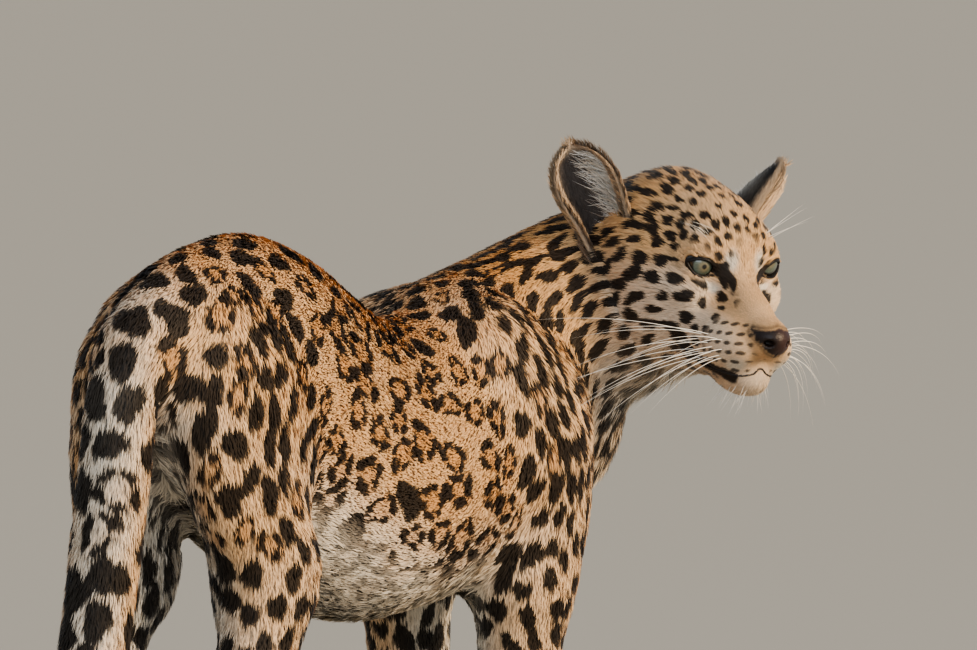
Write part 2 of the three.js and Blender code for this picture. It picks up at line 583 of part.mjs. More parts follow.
// An ear: a cup with a round tip. Its sheet runs from base to tip and its edges curl towards the side it faces.
function ear(side) {
  const tip = mirror(side > 0 ? EAR_TIP_LEFT : EAR_TIP_RIGHT, side);
  const base = mirror(EAR_BASE, side);
  const up = unit(sub(tip, base));
  const length = Math.hypot(...sub(tip, base));
  const face = without(mirror(EAR_FACE, side), up);
  const across = cross(face, up);
  const rows = EAR_ROWS;
  const columns = EAR_COLUMNS;
  const sheets = [0, 1].map((inside) => {
    const points = [];
    for (let row = 0; row <= rows; row += 1) {
      const v = row / rows;
      const rise = Math.sin((Math.min(v / EAR_WAIST, 1) * Math.PI) / 2);
      const fall = Math.max(v - EAR_WAIST, 0) / (1 - EAR_WAIST);
      const tipShare = Math.sqrt(Math.max(1 - fall ** EAR_ROUNDNESS, 0));
      const width = v < EAR_WAIST ? EAR_FOOT - (EAR_FOOT - EAR_WIDEST) * rise : EAR_WIDEST * tipShare;
      const curl = radians(EAR_CURL - EAR_OPENING * v ** EAR_CURL_POWER);
      const radius = Math.max(width, EAR_NARROWEST) / curl;
      const wall = EAR_WALL * (1 - EAR_THINNING * v);
      const bow = EAR_BOW * Math.sin(Math.PI * v);
      for (let column = 0; column <= columns; column += 1) {
        const turn = ((2 * column) / columns - 1) * curl;
        const r = radius - wall * inside;
        const flat = add(scale(across, r * Math.sin(turn)), scale(face, radius - r * Math.cos(turn) - bow));
        points.push(add(add(base, scale(up, length * v)), flat));
      }
    }
    return points;
  });
  const points = sheets.flat().map(fromHead);
  const at = (inside, row, column) => (inside * (rows + 1) + row) * (columns + 1) + column;
  const triangles = [];
  const quad = (a, b, c, d) => triangles.push(a, b, c, a, c, d);
  for (let row = 0; row < rows; row += 1) {
    for (let column = 0; column < columns; column += 1) {
      quad(at(0, row, column), at(0, row, column + 1), at(0, row + 1, column + 1), at(0, row + 1, column));
      quad(at(1, row, column), at(1, row + 1, column), at(1, row + 1, column + 1), at(1, row, column + 1));
    }
    quad(at(0, row, 0), at(0, row + 1, 0), at(1, row + 1, 0), at(1, row, 0));
    quad(at(0, row, columns), at(1, row, columns), at(1, row + 1, columns), at(0, row + 1, columns));
  }
  for (let column = 0; column < columns; column += 1) {
    quad(at(0, 0, column), at(1, 0, column), at(1, 0, column + 1), at(0, 0, column + 1));
    quad(at(0, rows, column), at(0, rows, column + 1), at(1, rows, column + 1), at(1, rows, column));
  }
  return { points, triangles };
}
for (const [name, side] of [['ear_left', 1], ['ear_right', -1]]) {
  let cup = solid(ear(side));
  for (const mesh of [headMesh, neckMesh]) cup = cup.subtract(grown(distance, mesh));
  pieces[name] = largest(cup);
}

// The scene graph: one mesh for each piece, with the colour of the coat there
const TAN = 0xd2a368;
const GOLD = 0xdcae70;
const PALE = 0xe6d3b4;
const AMBER = 0x8f8348;
const DUSK = 0x3a2d22;
const COLOURS = {
  torso: TAN, neck: TAN, head: GOLD, ear: DUSK, eye: AMBER, tail: PALE, fore: GOLD, hind: PALE, thigh: TAN,
};
const FUR_ROUGHNESS = 0.8;
const EYE_ROUGHNESS = 0.1;
const leopard = new THREE.Group();
for (const [name, shape] of Object.entries(pieces)) {
  const mesh = shape.getMesh();
  const geometry = new THREE.BufferGeometry();
  geometry.setAttribute('position', new THREE.BufferAttribute(mesh.vertProperties, 3));
  geometry.setIndex(new THREE.BufferAttribute(mesh.triVerts, 1));
  const kind = Object.keys(COLOURS).find((start) => name.startsWith(start));
  const roughness = kind === 'eye' ? EYE_ROUGHNESS : FUR_ROUGHNESS;
  const material = new THREE.MeshStandardMaterial({ color: COLOURS[kind], roughness, metalness: 0 });
  const piece = new THREE.Mesh(geometry, material);
  piece.name = name;
  leopard.add(piece);
}

// The model's origin is on the floor under the middle of its box
const box = new THREE.Box3().setFromObject(leopard);
leopard.position.set(-(box.min.x + box.max.x) / 2, -(box.min.y + box.max.y) / 2, -box.min.z);

export default leopard;
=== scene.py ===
"""A life-size leopard that stands and looks back over its shoulder, as a museum shows one.

One skin, a coat of fine tufts with the markings, eyes, lips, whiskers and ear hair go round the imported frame,
and a plain studio with the photograph's view goes round the animal.
"""
from functools import lru_cache
import math

import bpy
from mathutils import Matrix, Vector, kdtree
import numpy as np


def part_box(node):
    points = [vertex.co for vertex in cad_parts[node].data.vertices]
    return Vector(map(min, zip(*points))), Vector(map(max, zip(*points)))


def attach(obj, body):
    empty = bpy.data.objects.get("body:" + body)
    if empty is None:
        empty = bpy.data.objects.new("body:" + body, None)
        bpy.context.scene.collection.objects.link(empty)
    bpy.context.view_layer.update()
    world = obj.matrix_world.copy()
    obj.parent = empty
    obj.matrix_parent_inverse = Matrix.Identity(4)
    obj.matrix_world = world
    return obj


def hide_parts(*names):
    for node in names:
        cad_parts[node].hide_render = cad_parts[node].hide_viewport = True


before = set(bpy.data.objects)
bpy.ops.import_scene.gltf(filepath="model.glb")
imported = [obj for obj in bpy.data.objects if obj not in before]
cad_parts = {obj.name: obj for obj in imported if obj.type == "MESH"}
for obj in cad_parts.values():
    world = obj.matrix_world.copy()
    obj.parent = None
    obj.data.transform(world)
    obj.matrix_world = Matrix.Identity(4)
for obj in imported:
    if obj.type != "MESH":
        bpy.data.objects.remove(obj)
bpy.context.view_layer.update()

bl_info = {
    "name": "Leopard",
    "version": (1, 0, 0),
    "blender": (4, 5, 0),
    "location": "3D View > Sidebar > Leopard",
    "description": "A life-size standing leopard with a coat of tufts, on a plain studio floor",
    "category": "Add Mesh",
}

MM = 0.001

# Shape of the animal, in its own millimetres. A station is x, y, z, half width, half height.
HEAD_PLACE = np.array([360.0, -174.0, 534.0])
HEAD_TURN = np.radians([-121.0, 11.5, 3.5])
TRUNK = [
    (-382, 0, 512, 26, 28), (-355, 0, 508, 46, 56), (-315, 0, 502, 62, 84), (-260, 0, 493, 74, 104),
    (-200, 0, 480, 80, 120), (-130, 0, 455, 82, 128), (-60, 0, 424, 87, 128), (20, 0, 396, 94, 124),
    (90, 0, 392, 99, 120), (160, 0, 396, 98, 120), (230, 0, 406, 92, 116), (290, -6, 416, 80, 100),
    (335, -18, 420, 62, 78),
]
NECK = [
    (222, 0, 440, 72, 88), (285, -12, 456, 72, 90), (335, -40, 480, 68, 86), (368, -78, 508, 62, 80),
    (378, -116, 530, 58, 74), (366, -142, 540, 54, 66),
]
TAIL = [
    (-340, 0, 535, 30, 30), (-372, 0, 522, 31, 32), (-396, 0, 490, 30, 30), (-408, 1, 445, 29.5, 29.5),
    (-418, 4, 380, 29, 29), (-434, 8, 300, 28.5, 28.5), (-454, 12, 220, 27, 27), (-484, 16, 150, 26, 26),
    (-530, 20, 102, 25, 25), (-585, 22, 86, 24, 24), (-640, 20, 102, 22.5, 22.5), (-680, 16, 140, 20, 20),
    (-694, 14, 172, 14, 14),
]
CHEST = {"centre": (365, -50, 405), "radii": (52, 42, 60)}


def hind_leg(side, stride):
    """Stations of the thigh, shank and foot, and the paw's place: side 1 is left, stride shifts the paw."""
    thigh = [
        (-292, 30 * side, 530, 32, 44), (-290, 38 * side, 502, 40, 70), (-284, 43 * side, 462, 42, 82),
        (-276 + 0.1 * stride, 48 * side, 415, 41, 78), (-268 + 0.2 * stride, 53 * side, 370, 38, 62),
        (-266 + 0.3 * stride, 56 * side, 325, 35, 45),
    ]
    shank = [
        (-264 + 0.3 * stride, 58 * side, 345, 37, 48), (-288 + 0.45 * stride, 60 * side, 290, 33, 43),
        (-326 + 0.65 * stride, 61 * side, 230, 27, 34), (-356 + 0.8 * stride, 62 * side, 178, 23, 29),
        (-366 + 0.9 * stride, 62 * side, 148, 24, 30),
    ]
    foot = [
        (-370 + 0.9 * stride, 62 * side, 158, 23, 29), (-362 + 0.95 * stride, 62 * side, 110, 24, 25),
        (-354 + stride, 63 * side, 62, 26, 26), (-348 + stride, 63 * side, 36, 29, 28),
    ]
    return [thigh, shank, foot], (-334 + stride, 63 * side)


def fore_leg(side, stride, stance):
    """Stations of the upper and lower foreleg, and the paw's place. Stance is how far out the paw is."""
    upper = [
        (192, 50 * side, 488, 30, 42), (208, 60 * side, 452, 40, 62),
        (232 + 0.15 * stride, 70 * side, 405, 46, 74), (240 + 0.3 * stride, 70 * side, 358, 46, 68),
        (230 + 0.5 * stride, (stance + 4) * side, 318, 42, 58),
        (218 + 0.7 * stride, stance * side, 280, 39, 50),
    ]
    lower = [
        (218 + 0.7 * stride, stance * side, 290, 39, 50), (214 + 0.8 * stride, stance * side, 240, 36, 45),
        (213 + 0.9 * stride, stance * side, 180, 32, 38), (214 + 0.95 * stride, stance * side, 120, 29, 33),
        (217 + stride, stance * side, 78, 29, 31), (222 + stride, stance * side, 44, 31, 32),
    ]
    return [upper, lower], (236 + stride, stance * side)


LEGS = {
    "hind_left": hind_leg(1, -30),
    "hind_right": hind_leg(-1, 20),
    "fore_left": fore_leg(1, 90, 60),
    "fore_right": fore_leg(-1, 8, 68),
}
LEG_JOINS = {"hind": (26, 14, 30), "fore": (22, 0, 32)}
NECK_JOIN, HEAD_JOIN, TAIL_JOIN, PAW_JOIN, TOE_JOIN = 40, 34, 18, 12, 6
PAW_BALL = ((2, 0, 26), (34, 33, 27))
TOE_SIZE, TOE_HEIGHT, TOE_STEP = (21, 12.5, 18), 15, 17
TOES = ((-1.5, 22), (-0.5, 33), (0.5, 34), (1.5, 24))
END_CAP = 0.8

# The head, in its own frame of forward, left and up: centre, radii, pitch, blend and coat's depth of each
# form
HEAD_FORMS = [
    ((-36, 0, 11), (70, 55, 60), 0, 1, 3.4), ((-12, 34, -26), (52, 34, 50), 0, 34, 3.4),
    ((12, 0, 26), (42, 38, 35), -30, 22, 2.6), ((24, 25, 27), (20, 19, 14), -18, 12, 2.2),
    ((18, 39, -8), (28, 15, 15), -12, 16, 2.4), ((68, 0, -19), (46, 18, 18), -30, 20, 1.5),
    ((71, 17, -44), (27, 18, 19), 0, 16, 1.8), ((97, 0, -31), (17, 17, 14), 0, 9, 0.8),
    ((48, 24, -44), (34, 21, 22), 0, 20, 2.2), ((34, 0, -59), (56, 31, 20), 0, 16, 3.0),
    ((72, 0, -71), (24, 20, 15), 0, 12, 2.0), ((-34, 24, -46), (48, 32, 34), 0, 30, 3.6),
]
EYE = np.array([26.5, 32.5, 14.5])
EYE_RADIUS = 15.0
LID = 2.4
LID_COAT = 1.1
LID_BLEND = 7.0
LID_PROFILE = [
    (2.6, -0.9), (1.9, 0.1), (1.2, 0.45), (0.6, 0.5), (0.1, 0.2), (-0.3, -0.5), (-0.4, -1.6), (-0.2, -4.2),
]
EYE_GAP = 0.3
INNER_CORNER = np.array([45.0, 22.0, 7.0])
OUTER_CORNER = np.array([27.0, 48.0, 15.0])
OPENING_MIDDLE, OPENING_HALF, OPENING_TOP, OPENING_BOTTOM = -5.4, 13.2, 7.0, 6.4
NOSTRIL, NOSTRIL_SIZE = (110, 9.5, -33), (7, 4.2, 2.8)
MOUTH_LINE = [(102, 0, -60), (98, 10, -64), (86, 22, -68), (70, 30, -67), (56, 33, -62), (46, 36, -56)]
LIP_CLEFT = [(113, 0, -40), (108, 0, -48), (103, 0, -59)]
EAR_BASE = np.array([-58.0, 46.0, 4.0])
EAR_TIPS = {1: np.array([-54.0, 102.0, 78.0]), -1: np.array([-75.0, 102.0, 84.0])}
EAR_FACE = np.array([0.62, 0.76, 0.12])
HEAD_REACH = 260
FAR = 200.0

# How softly openings, sockets and the mouth's groove are cut, and the groove's radius, less in the cleft
OPENING_SOFT, SOCKET_SOFT, GROOVE_SOFT = 1.5, 1.0, 2.5
GROOVE_RADIUS, CLEFT_LESS = 2.2, 0.6

# An ear: its wall and inset, half width at its foot and at its widest, how far up that is, how round its
# tip is, how far its edges curl at the foot and how much less at the tip, in degrees, and how far its
# middle bows back
EAR_WALL, EAR_THINNING, EAR_INSET = 4.0, 0.5, 1.2
EAR_FOOT, EAR_WIDEST, EAR_WAIST, EAR_ROUNDNESS = 50.0, 41.0, 0.45, 2.2
EAR_CURL, EAR_OPENING, EAR_CURL_POWER, EAR_BOW = 128.0, 72.0, 0.8, 10.0

# The eyes' lines of sight, the pupil and iris as angles from them, and the cornea's rise and spread
GAZE = {1: (0.9696, -0.0323, 0.2424), -1: (0.976, -0.206, -0.073)}
PUPIL, IRIS = 0.13, 0.66
CORNEA_RISE, CORNEA_SPREAD = 0.06, 0.5
EYE_INSET = 0.15

COAT_DEPTH = {"trunk": 5.0, "neck": 5.0, "chest": 7.0, "leg": 4.5, "foot": 3.5, "paw": 2.2, "tail": 5.0}
# The skin's lattice: its cell, how small and how far round the head's middle it is drawn in, and its ends
CELL = 7.0
HEAD_SHRINK = 0.27
HEAD_LENS = 352.0
HEAD_MIDDLE = (35, 0, -15)
LOWEST, HIGHEST = (-730, -330, -12), (475, 135, 650)
COARSE = 4
NEAR_CELLS = 1.35
LEAST_SLOPE = 0.2

# The coat's pieces and their unwrap, and the stage
PATCH = 0.003
PIECE_TUFTS = 66000
TUFT_WIDTH = 0.78
MARKS_CLOSE = 0.93
MARK_TRIES = 60000
CROWN_CLOSER, CROWN_SMALLER = 0.4, 0.36
ROOT_SUNK = 0.5
LIPS_SUNK, LIPS_THICK = 0.7, (1.3, 0.8)
WHISKER_THICK, BROW_THICK, CHIN_THICK = 0.36, 0.18, 0.17
EAR_HAIR_WIDTH = 0.55
TUFT_FACES = np.array([[0, 3, 1], [0, 2, 3], [2, 4, 3]])
# Painted shade and light along a tuft's five points: its root darkened to 0.7, its tip lightened to 1.06.
TUFT_PAINTED_SHADING = np.array([0.7, 0.7, 0.96, 0.96, 1.06])
SPANS = {"coat_rump": (0.0, 0.42), "coat_flank": (0.38, 0.68), "coat_back": (0.62, 1.0)}
CAMERA_PLACE = (-8156.48, -3595.74, 1211.31)
CAMERA_AIM = (102.53, -90.0, 505.17)
FLOOR_REACH = 90000.0
LIGHT_AIM = (0.0, 0.0, 0.35)
KEY_TINT, SKY_TINT = (1.0, 0.77, 0.52), (0.80, 0.88, 1.0)


def unit(v):
    """Vectors divided by their length."""
    return v / np.maximum(np.linalg.norm(v, axis=-1, keepdims=True), 1e-12)


def without(v, axis):
    """The part of v at right angles to axis, made one long."""
    return unit(v - (v * axis).sum(-1, keepdims=True) * axis)


def step(low, high, x):
    """0 below low, 1 above high, and a smooth S between, also where high is the lesser of the two."""
    t = np.clip((x - low) / (high - low), 0.0, 1.0)
    return t * t * (3.0 - 2.0 * t)


def mix(a, b, t):
    """a at 0, b at 1, straight between."""
    return a + (b - a) * t


def head_axes():
    """Rows forward, left and up: the world's axes turned by yaw, pitched down, then rolled about forward."""
    yaw, pitch, roll = HEAD_TURN
    forward = np.array([math.cos(yaw) * math.cos(pitch), math.sin(yaw) * math.cos(pitch), -math.sin(pitch)])
    level = np.array([-math.sin(yaw), math.cos(yaw), 0.0])
    left = level * math.cos(roll) - np.cross(forward, level) * math.sin(roll)
    return np.array([forward, left, np.cross(forward, left)])


HEAD_AXES = head_axes()


def to_head(p):
    return (p - HEAD_PLACE) @ HEAD_AXES.T


def from_head(q):
    return np.asarray(q, float) @ HEAD_AXES + HEAD_PLACE


def cad_shift():
    """The step from the animal's own millimetres to the frame's: the middle of the two CAD eyes tells it."""
    ends = [np.array(corner) for name in ("eye_left", "eye_right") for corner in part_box(name)]
    shift = sum(ends) / 4 / MM - from_head(EYE * (1, 0, 1))
    shift[2] = 0.0
    return shift


SHIFT = cad_shift()


def to_frame(p):
    """The animal's own millimetres to the frame's metres."""
    return (p + SHIFT) * MM


def smooth_min(a, b, k):
    """The lesser of two distances, with the join rounded over a width k by a quadratic."""
    h = np.maximum(k - np.abs(a - b), 0.0) / k
    return np.minimum(a, b) - h * h * k * 0.25


def smooth_max(a, b, k):
    return -smooth_min(-a, -b, k)


def ellipsoid(p, centre, radii, pitch=0.0):
    """Distance to an ellipsoid, right near its surface: n (n - 1) over n's slope, where n is |p / radii|."""
    d = p - np.array(centre, float)
    r = np.array(radii, float)
    if pitch:
        c, s = math.cos(math.radians(pitch)), math.sin(math.radians(pitch))
        d = np.stack([d[:, 0] * c + d[:, 2] * s, d[:, 1], d[:, 2] * c - d[:, 0] * s], axis=1)
    near = np.linalg.norm(d / r, axis=1)
    slope = np.linalg.norm(d / r**2, axis=1)
    return np.where(slope > 1e-9, near * (near - 1.0) / np.maximum(slope, 1e-9), -r.min())


def smooth_line(stations, steps):
    """Stations joined by cubics that leave and meet each station along the line between its neighbours."""
    s = np.array(stations, float)
    ends = np.vstack([2 * s[0] - s[1], s, 2 * s[-1] - s[-2]])
    t = (np.arange(steps) / steps)[None, :, None]
    a, b, c, d = (ends[i : len(s) - 1 + i, None, :] for i in range(4))
    spans = 0.5 * (2 * b + (c - a) * t + (2 * a - 5 * b + 4 * c - d) * t**2 + (3 * b - a - 3 * c + d) * t**3)
    return np.vstack([spans.reshape(-1, s.shape[1]), s[-1:]])


class Limb:
    """A round form along stations: an ellipse across a smooth line, with a round end."""

    REACH = 60.0

    def __init__(self, stations, steps=4, side_end=(0, 1, 0), pear=0.0, coat=0.0):
        self.line = smooth_line(stations, steps)
        self.last = len(self.line) - 1
        places = self.line[:, :3]
        ahead = np.vstack([places[1:], places[-1:]])
        behind = np.vstack([places[:1], places[:-1]])
        self.tangents = unit(ahead - behind)
        part = np.linspace(0, 1, self.last + 1)[:, None]
        self.sides = without(mix(np.array([0.0, 1.0, 0.0]), np.array(side_end, float), part), self.tangents)
        self.spans = np.diff(places, axis=0)
        self.squares = (self.spans**2).sum(1)
        widest = self.line[:, 3:5].max()
        self.low = places.min(0) - widest
        self.high = places.max(0) + widest
        self.pear = pear
        self.coat = coat

    def nearest(self, p):
        """The span nearest each point and the part along it, from squared distances to all spans at once."""
        starts = self.line[:-1, :3]
        along = p @ self.spans.T - (starts * self.spans).sum(1)
        t = np.clip(along / self.squares, 0.0, 1.0)
        away = (p**2).sum(1)[:, None] - 2 * p @ starts.T + (starts**2).sum(1)
        at = (away - 2 * t * along + t * t * self.squares).argmin(1)
        return at, t[np.arange(len(p)), at]

    def follow(self, p):
        """Distance, tangent, place along (0 to 1), and the point's width and height as shares of its own."""
        at, t = self.nearest(p)
        station = mix(self.line[at], self.line[at + 1], t[:, None])
        tangent = mix(self.tangents[at], self.tangents[at + 1], t[:, None])
        side = mix(self.sides[at], self.sides[at + 1], t[:, None])
        d = p - station[:, :3]
        v = (d * np.cross(tangent, side)).sum(1)
        height = station[:, 4]
        width = station[:, 3] * (1.0 - self.pear * np.clip(v / height, -1.0, 1.0))
        cap = np.minimum(station[:, 3], height) * END_CAP
        inside = (at + t > 1e-6) & (at + t < self.last - 1e-6)
        u = (d * side).sum(1)
        w = np.where(inside, 0.0, (d * tangent).sum(1))
        near = np.sqrt((u / width) ** 2 + (v / height) ** 2 + (w / cap) ** 2)
        slope = np.sqrt((u / width**2) ** 2 + (v / height**2) ** 2 + (w / cap**2) ** 2)
        distance = np.where(slope > 1e-9, near * (near - 1.0) / np.maximum(slope, 1e-9), -cap)
        return distance, tangent, (at + t) / self.last, u / width, v / height

    def distance(self, p):
        """Distance to the form less its coat. Far from its box, the distance to the box will do."""
        far = np.linalg.norm(np.maximum(np.maximum(self.low - p, p - self.high), 0.0), axis=1)
        result = far + 1.0
        close = far < self.REACH
        if close.any():
            result[close] = self.follow(p[close])[0] + self.coat
        return result


LIMBS = {
    "trunk": Limb(TRUNK, pear=0.16, coat=COAT_DEPTH["trunk"]),
    "neck": Limb(NECK, side_end=HEAD_AXES[1], coat=COAT_DEPTH["neck"]),
    "tail": Limb(TAIL, steps=2, coat=COAT_DEPTH["tail"]),
}
for leg_name, (leg_parts, _) in LEGS.items():
    for number, leg_part in enumerate(leg_parts):
        depth = COAT_DEPTH["foot"] if number == 2 else COAT_DEPTH["leg"]
        LIMBS[f"{leg_name}_{number}"] = Limb(leg_part, coat=depth)


def mirrored(q):
    """The head's points brought to its left side."""
    return np.stack([q[:, 0], np.abs(q[:, 1]), q[:, 2]], axis=1)


def eye_axes():
    """Across the opening from the inner corner, up, and out of the head, for the left eye."""
    across = unit(OUTER_CORNER - INNER_CORNER)
    out = without(np.array([0.8, 0.55, -0.1]), across)
    return across, np.cross(out, across), out


EYE_ACROSS, EYE_UP, EYE_OUT = eye_axes()


def opening_edge(across):
    """How far the lids' edges lie above and below the line between the corners: a parabola each."""
    arch = 1.0 - np.clip((across - OPENING_MIDDLE) / OPENING_HALF, -1.0, 1.0) ** 2
    return OPENING_TOP * arch, OPENING_BOTTOM * arch


def closed_head(q):
    """The head's skin with closed lids: its forms blended one after another, then the lids over the eye."""
    m = mirrored(q)
    d = np.full(len(q), 1e3)
    for centre, radii, pitch, k, coat in HEAD_FORMS:
        d = smooth_min(d, ellipsoid(m, centre, radii, pitch) + coat, k)
    lids = np.linalg.norm(m - EYE, axis=1) - EYE_RADIUS - LID + LID_COAT
    return smooth_min(d, lids, LID_BLEND)


def path_distance(q, path):
    """Distance to a broken line: the least distance to its spans."""
    best = np.full(len(q), 1e3)
    for a, b in zip(np.array(path[:-1], float), np.array(path[1:], float)):
        t = np.clip((q - a) @ (b - a) / ((b - a) @ (b - a)), 0.0, 1.0)
        best = np.minimum(best, np.linalg.norm(q - a - t[:, None] * (b - a), axis=1))
    return best


def head_skin(q):
    """The head's skin: closed_head with the eyes' openings, the nostrils and the mouth's groove cut in."""
    m = mirrored(q)
    d = closed_head(q)
    r = m - EYE
    top, bottom = opening_edge(r @ EYE_ACROSS)
    up, out = r @ EYE_UP, r @ EYE_OUT
    off_side = np.abs(r @ EYE_ACROSS - OPENING_MIDDLE) - OPENING_HALF
    hole = np.maximum(np.maximum(up - top, -bottom - up), off_side)
    d = smooth_max(d, -np.where(out > 0, hole, 2 * EYE_RADIUS), OPENING_SOFT)
    d = smooth_max(d, EYE_RADIUS + EYE_GAP - np.linalg.norm(r, axis=1), SOCKET_SOFT)
    d = smooth_max(d, -ellipsoid(m, NOSTRIL, NOSTRIL_SIZE), OPENING_SOFT)
    groove = np.minimum(path_distance(m, MOUTH_LINE), path_distance(m, LIP_CLEFT) + CLEFT_LESS)
    return smooth_max(d, GROOVE_RADIUS - groove, GROOVE_SOFT)


def paw(p, place):
    """A paw's ball and four toes, the two middle ones further forward."""
    x, y = place
    middle, size = PAW_BALL
    d = ellipsoid(p, (x + middle[0], y + middle[1], middle[2]), size)
    for across, reach in TOES:
        d = smooth_min(d, ellipsoid(p, (x + reach, y + across * TOE_STEP, TOE_HEIGHT), TOE_SIZE), TOE_JOIN)
    return d + COAT_DEPTH["paw"]


def skin_distance(p):
    """Distance to the skin of the whole animal but its ears, cut off flat at the floor."""
    d = smooth_min(LIMBS["trunk"].distance(p), LIMBS["neck"].distance(p), NECK_JOIN)
    d = smooth_min(d, ellipsoid(p, CHEST["centre"], CHEST["radii"]) + COAT_DEPTH["chest"], HEAD_JOIN)
    d = smooth_min(d, LIMBS["tail"].distance(p), TAIL_JOIN)
    for name, (parts, place) in LEGS.items():
        first, second, join = LEG_JOINS[name[:4]]
        limbs = smooth_min(LIMBS[f"{name}_0"].distance(p), LIMBS[f"{name}_1"].distance(p), first)
        if len(parts) == 3:
            limbs = smooth_min(limbs, LIMBS[f"{name}_2"].distance(p), second)
        d = smooth_min(smooth_min(d, limbs, join), paw(p, place), PAW_JOIN)
    q = to_head(p)
    near = np.linalg.norm(q, axis=1) < HEAD_REACH
    head = np.full(len(p), FAR)
    head[near] = head_skin(q[near])
    return np.maximum(smooth_min(d, head, HEAD_JOIN), -p[:, 2])


def in_blocks(field, p, size=60000):
    """A field worked out for blocks of points, which keeps the arrays small."""
    return np.concatenate([field(p[i : i + size]) for i in range(0, len(p), size)])


def lattice():
    """The axes of an even lattice that holds the animal once it is drawn in, and the head's middle."""
    extra = HEAD_LENS * (1 - HEAD_SHRINK)
    low = np.array(LOWEST) - extra
    high = np.array(HIGHEST) + extra
    return [np.arange(a, b, CELL) for a, b in zip(low, high)], from_head(HEAD_MIDDLE)


def drawn_in(g, middle):
    """Lattice points drawn in round the head's middle, and how small the cells are there.

    Within a ball round the middle every distance from it is multiplied by a constant below 1, and outside the
    ball it is less by a constant, so the lattice is even again further off.
    """
    away = g - middle
    far = np.maximum(np.linalg.norm(away, axis=-1, keepdims=True), 1e-9)
    near = far < HEAD_LENS
    kept = np.where(near, HEAD_SHRINK * far, far - (1 - HEAD_SHRINK) * HEAD_LENS)
    return middle + away * (kept / far), np.where(near, HEAD_SHRINK, 1.0)[..., 0]


def lattice_values(axes, middle):
    """The skin's distance on the lattice: on every fourth point, then on each point near the surface."""
    coarse = [axis[::COARSE] for axis in axes]
    grid = np.stack(np.meshgrid(*coarse, indexing="ij"), axis=-1)
    places, sizes = drawn_in(grid, middle)
    values = in_blocks(skin_distance, places.reshape(-1, 3)).reshape(sizes.shape)
    pick = [np.minimum((np.arange(len(a)) + COARSE // 2) // COARSE, len(c) - 1) for a, c in zip(axes, coarse)]
    spread = values[np.ix_(*pick)]
    near = np.argwhere(np.abs(spread) < COARSE * CELL * NEAR_CELLS * sizes[np.ix_(*pick)])
    points = np.stack([axes[i][near[:, i]] for i in range(3)], axis=1)
    spread[tuple(near.T)] = in_blocks(skin_distance, drawn_in(points, middle)[0])
    return spread


def cell_mesh(values, axes, middle):
    """A closed mesh of the surface where values cross zero.

    Each cell that the surface crosses gets one point, the mean of the crossings on its edges, and each
    lattice edge that it crosses gets the quad of its four cells.
    """
    inside = values < 0
    shape = tuple(n - 1 for n in values.shape)
    total = np.zeros(shape + (3,))
    count = np.zeros(shape)
    crossed = []
    for axis in range(3):
        first = [slice(None)] * 3
        second = [slice(None)] * 3
        first[axis], second[axis] = slice(0, -1), slice(1, None)
        starts, ends = inside[tuple(first)], inside[tuple(second)]
        edges = np.argwhere(starts != ends)
        next_edges = edges + np.eye(3, dtype=int)[axis]
        a, b = values[tuple(edges.T)], values[tuple(next_edges.T)]
        g = [np.stack([axes[i][e[:, i]] for i in range(3)], axis=1) for e in (edges, next_edges)]
        places = mix(drawn_in(g[0], middle)[0], drawn_in(g[1], middle)[0], (a / (a - b))[:, None])
        others = [i for i in range(3) if i != axis]
        corners = []
        for one, two in ((-1, -1), (0, -1), (0, 0), (-1, 0)):
            cells = edges.copy()
            cells[:, others[0]] += one
            cells[:, others[1]] += two
            flat = np.ravel_multi_index(tuple(cells.T), shape)
            for i in range(3):
                total.reshape(-1, 3)[:, i] += np.bincount(flat, places[:, i], count.size)
            count += np.bincount(flat, minlength=count.size).reshape(shape)
            corners.append(flat)
        flip = starts[tuple(edges.T)] if axis == 1 else ~starts[tuple(edges.T)]
        quads = np.stack(corners, axis=1)
        quads[flip] = quads[flip][:, ::-1]
        crossed.append(quads)
    used = count.ravel() > 0
    numbers = np.cumsum(used) - 1
    points = total.reshape(-1, 3)[used] / count.ravel()[used][:, None]
    return points, numbers[np.vstack(crossed)]


def slope_of(field, points, here, small=0.5):
    """The direction in which a field grows and how fast, by a small step along each axis."""
    return np.stack([field(points + e) - here for e in np.eye(3) * small], axis=1) / small


def onto_skin(points, most=3.0):
    """Points moved onto the skin, twice by the distance along its gradient, at most a short way each time."""
    for _ in range(2):
        here = in_blocks(skin_distance, points)
        slope = slope_of(lambda p: in_blocks(skin_distance, p), points, here)
        move = np.clip(here / np.maximum((slope**2).sum(1), LEAST_SLOPE), -most, most)
        points = points - slope * move[:, None]
    points[:, 2] = np.maximum(points[:, 2], 0.0)
    return points


def point_normals(points, faces):
    """Each point's normal: the sum of its faces' normals, long in proportion to the faces' areas."""
    a, b, c, d = (points[faces[:, i]] for i in range(4))
    crosses = np.cross(c - a, d - b)
    flat = faces.T.ravel()
    repeated = np.tile(crosses, (4, 1))
    return unit(np.stack([np.bincount(flat, repeated[:, i], len(points)) for i in range(3)], axis=1))


# The face: pale patches as centre, radii and share, the lines of the tear patch, the streak behind the eye
# and the mouth corner's black patch, where the fur is long under the ears and at the throat, the steps
# between the muzzle's rows and dots and a dot's reach, and the wedge of the nose's bare skin
PALE_PATCHES = [
    ((86, 22, -56), (16, 12, 10), 1.1), ((80, 22, -44), (20, 13, 12), 0.8), ((43, 24, -5), (9, 9, 5), 1.35),
    ((48.5, 13, 18), (7, 6, 9), 1.35), ((30, 34, 38), (12, 12, 5), 0.6), ((20, 48, -16), (16, 10, 10), 0.75),
]
TEAR_PATCH = [(44, 26, 13), (45.5, 21, 10), (48, 16.5, 8), (52, 12, 4), (57, 12, -3)]
OUTER_STREAK = [(27, 47, 14), (18, 52, 14), (8, 56, 12)]
MOUTH_PATCH = [(36, 44, -47), (58, 34, -60), (82, 20, -69)]
EAR_RUFF = ((-52, 58, -8), (26, 22, 26))
THROAT = ((0, -8, -102), (48, 46, 36))
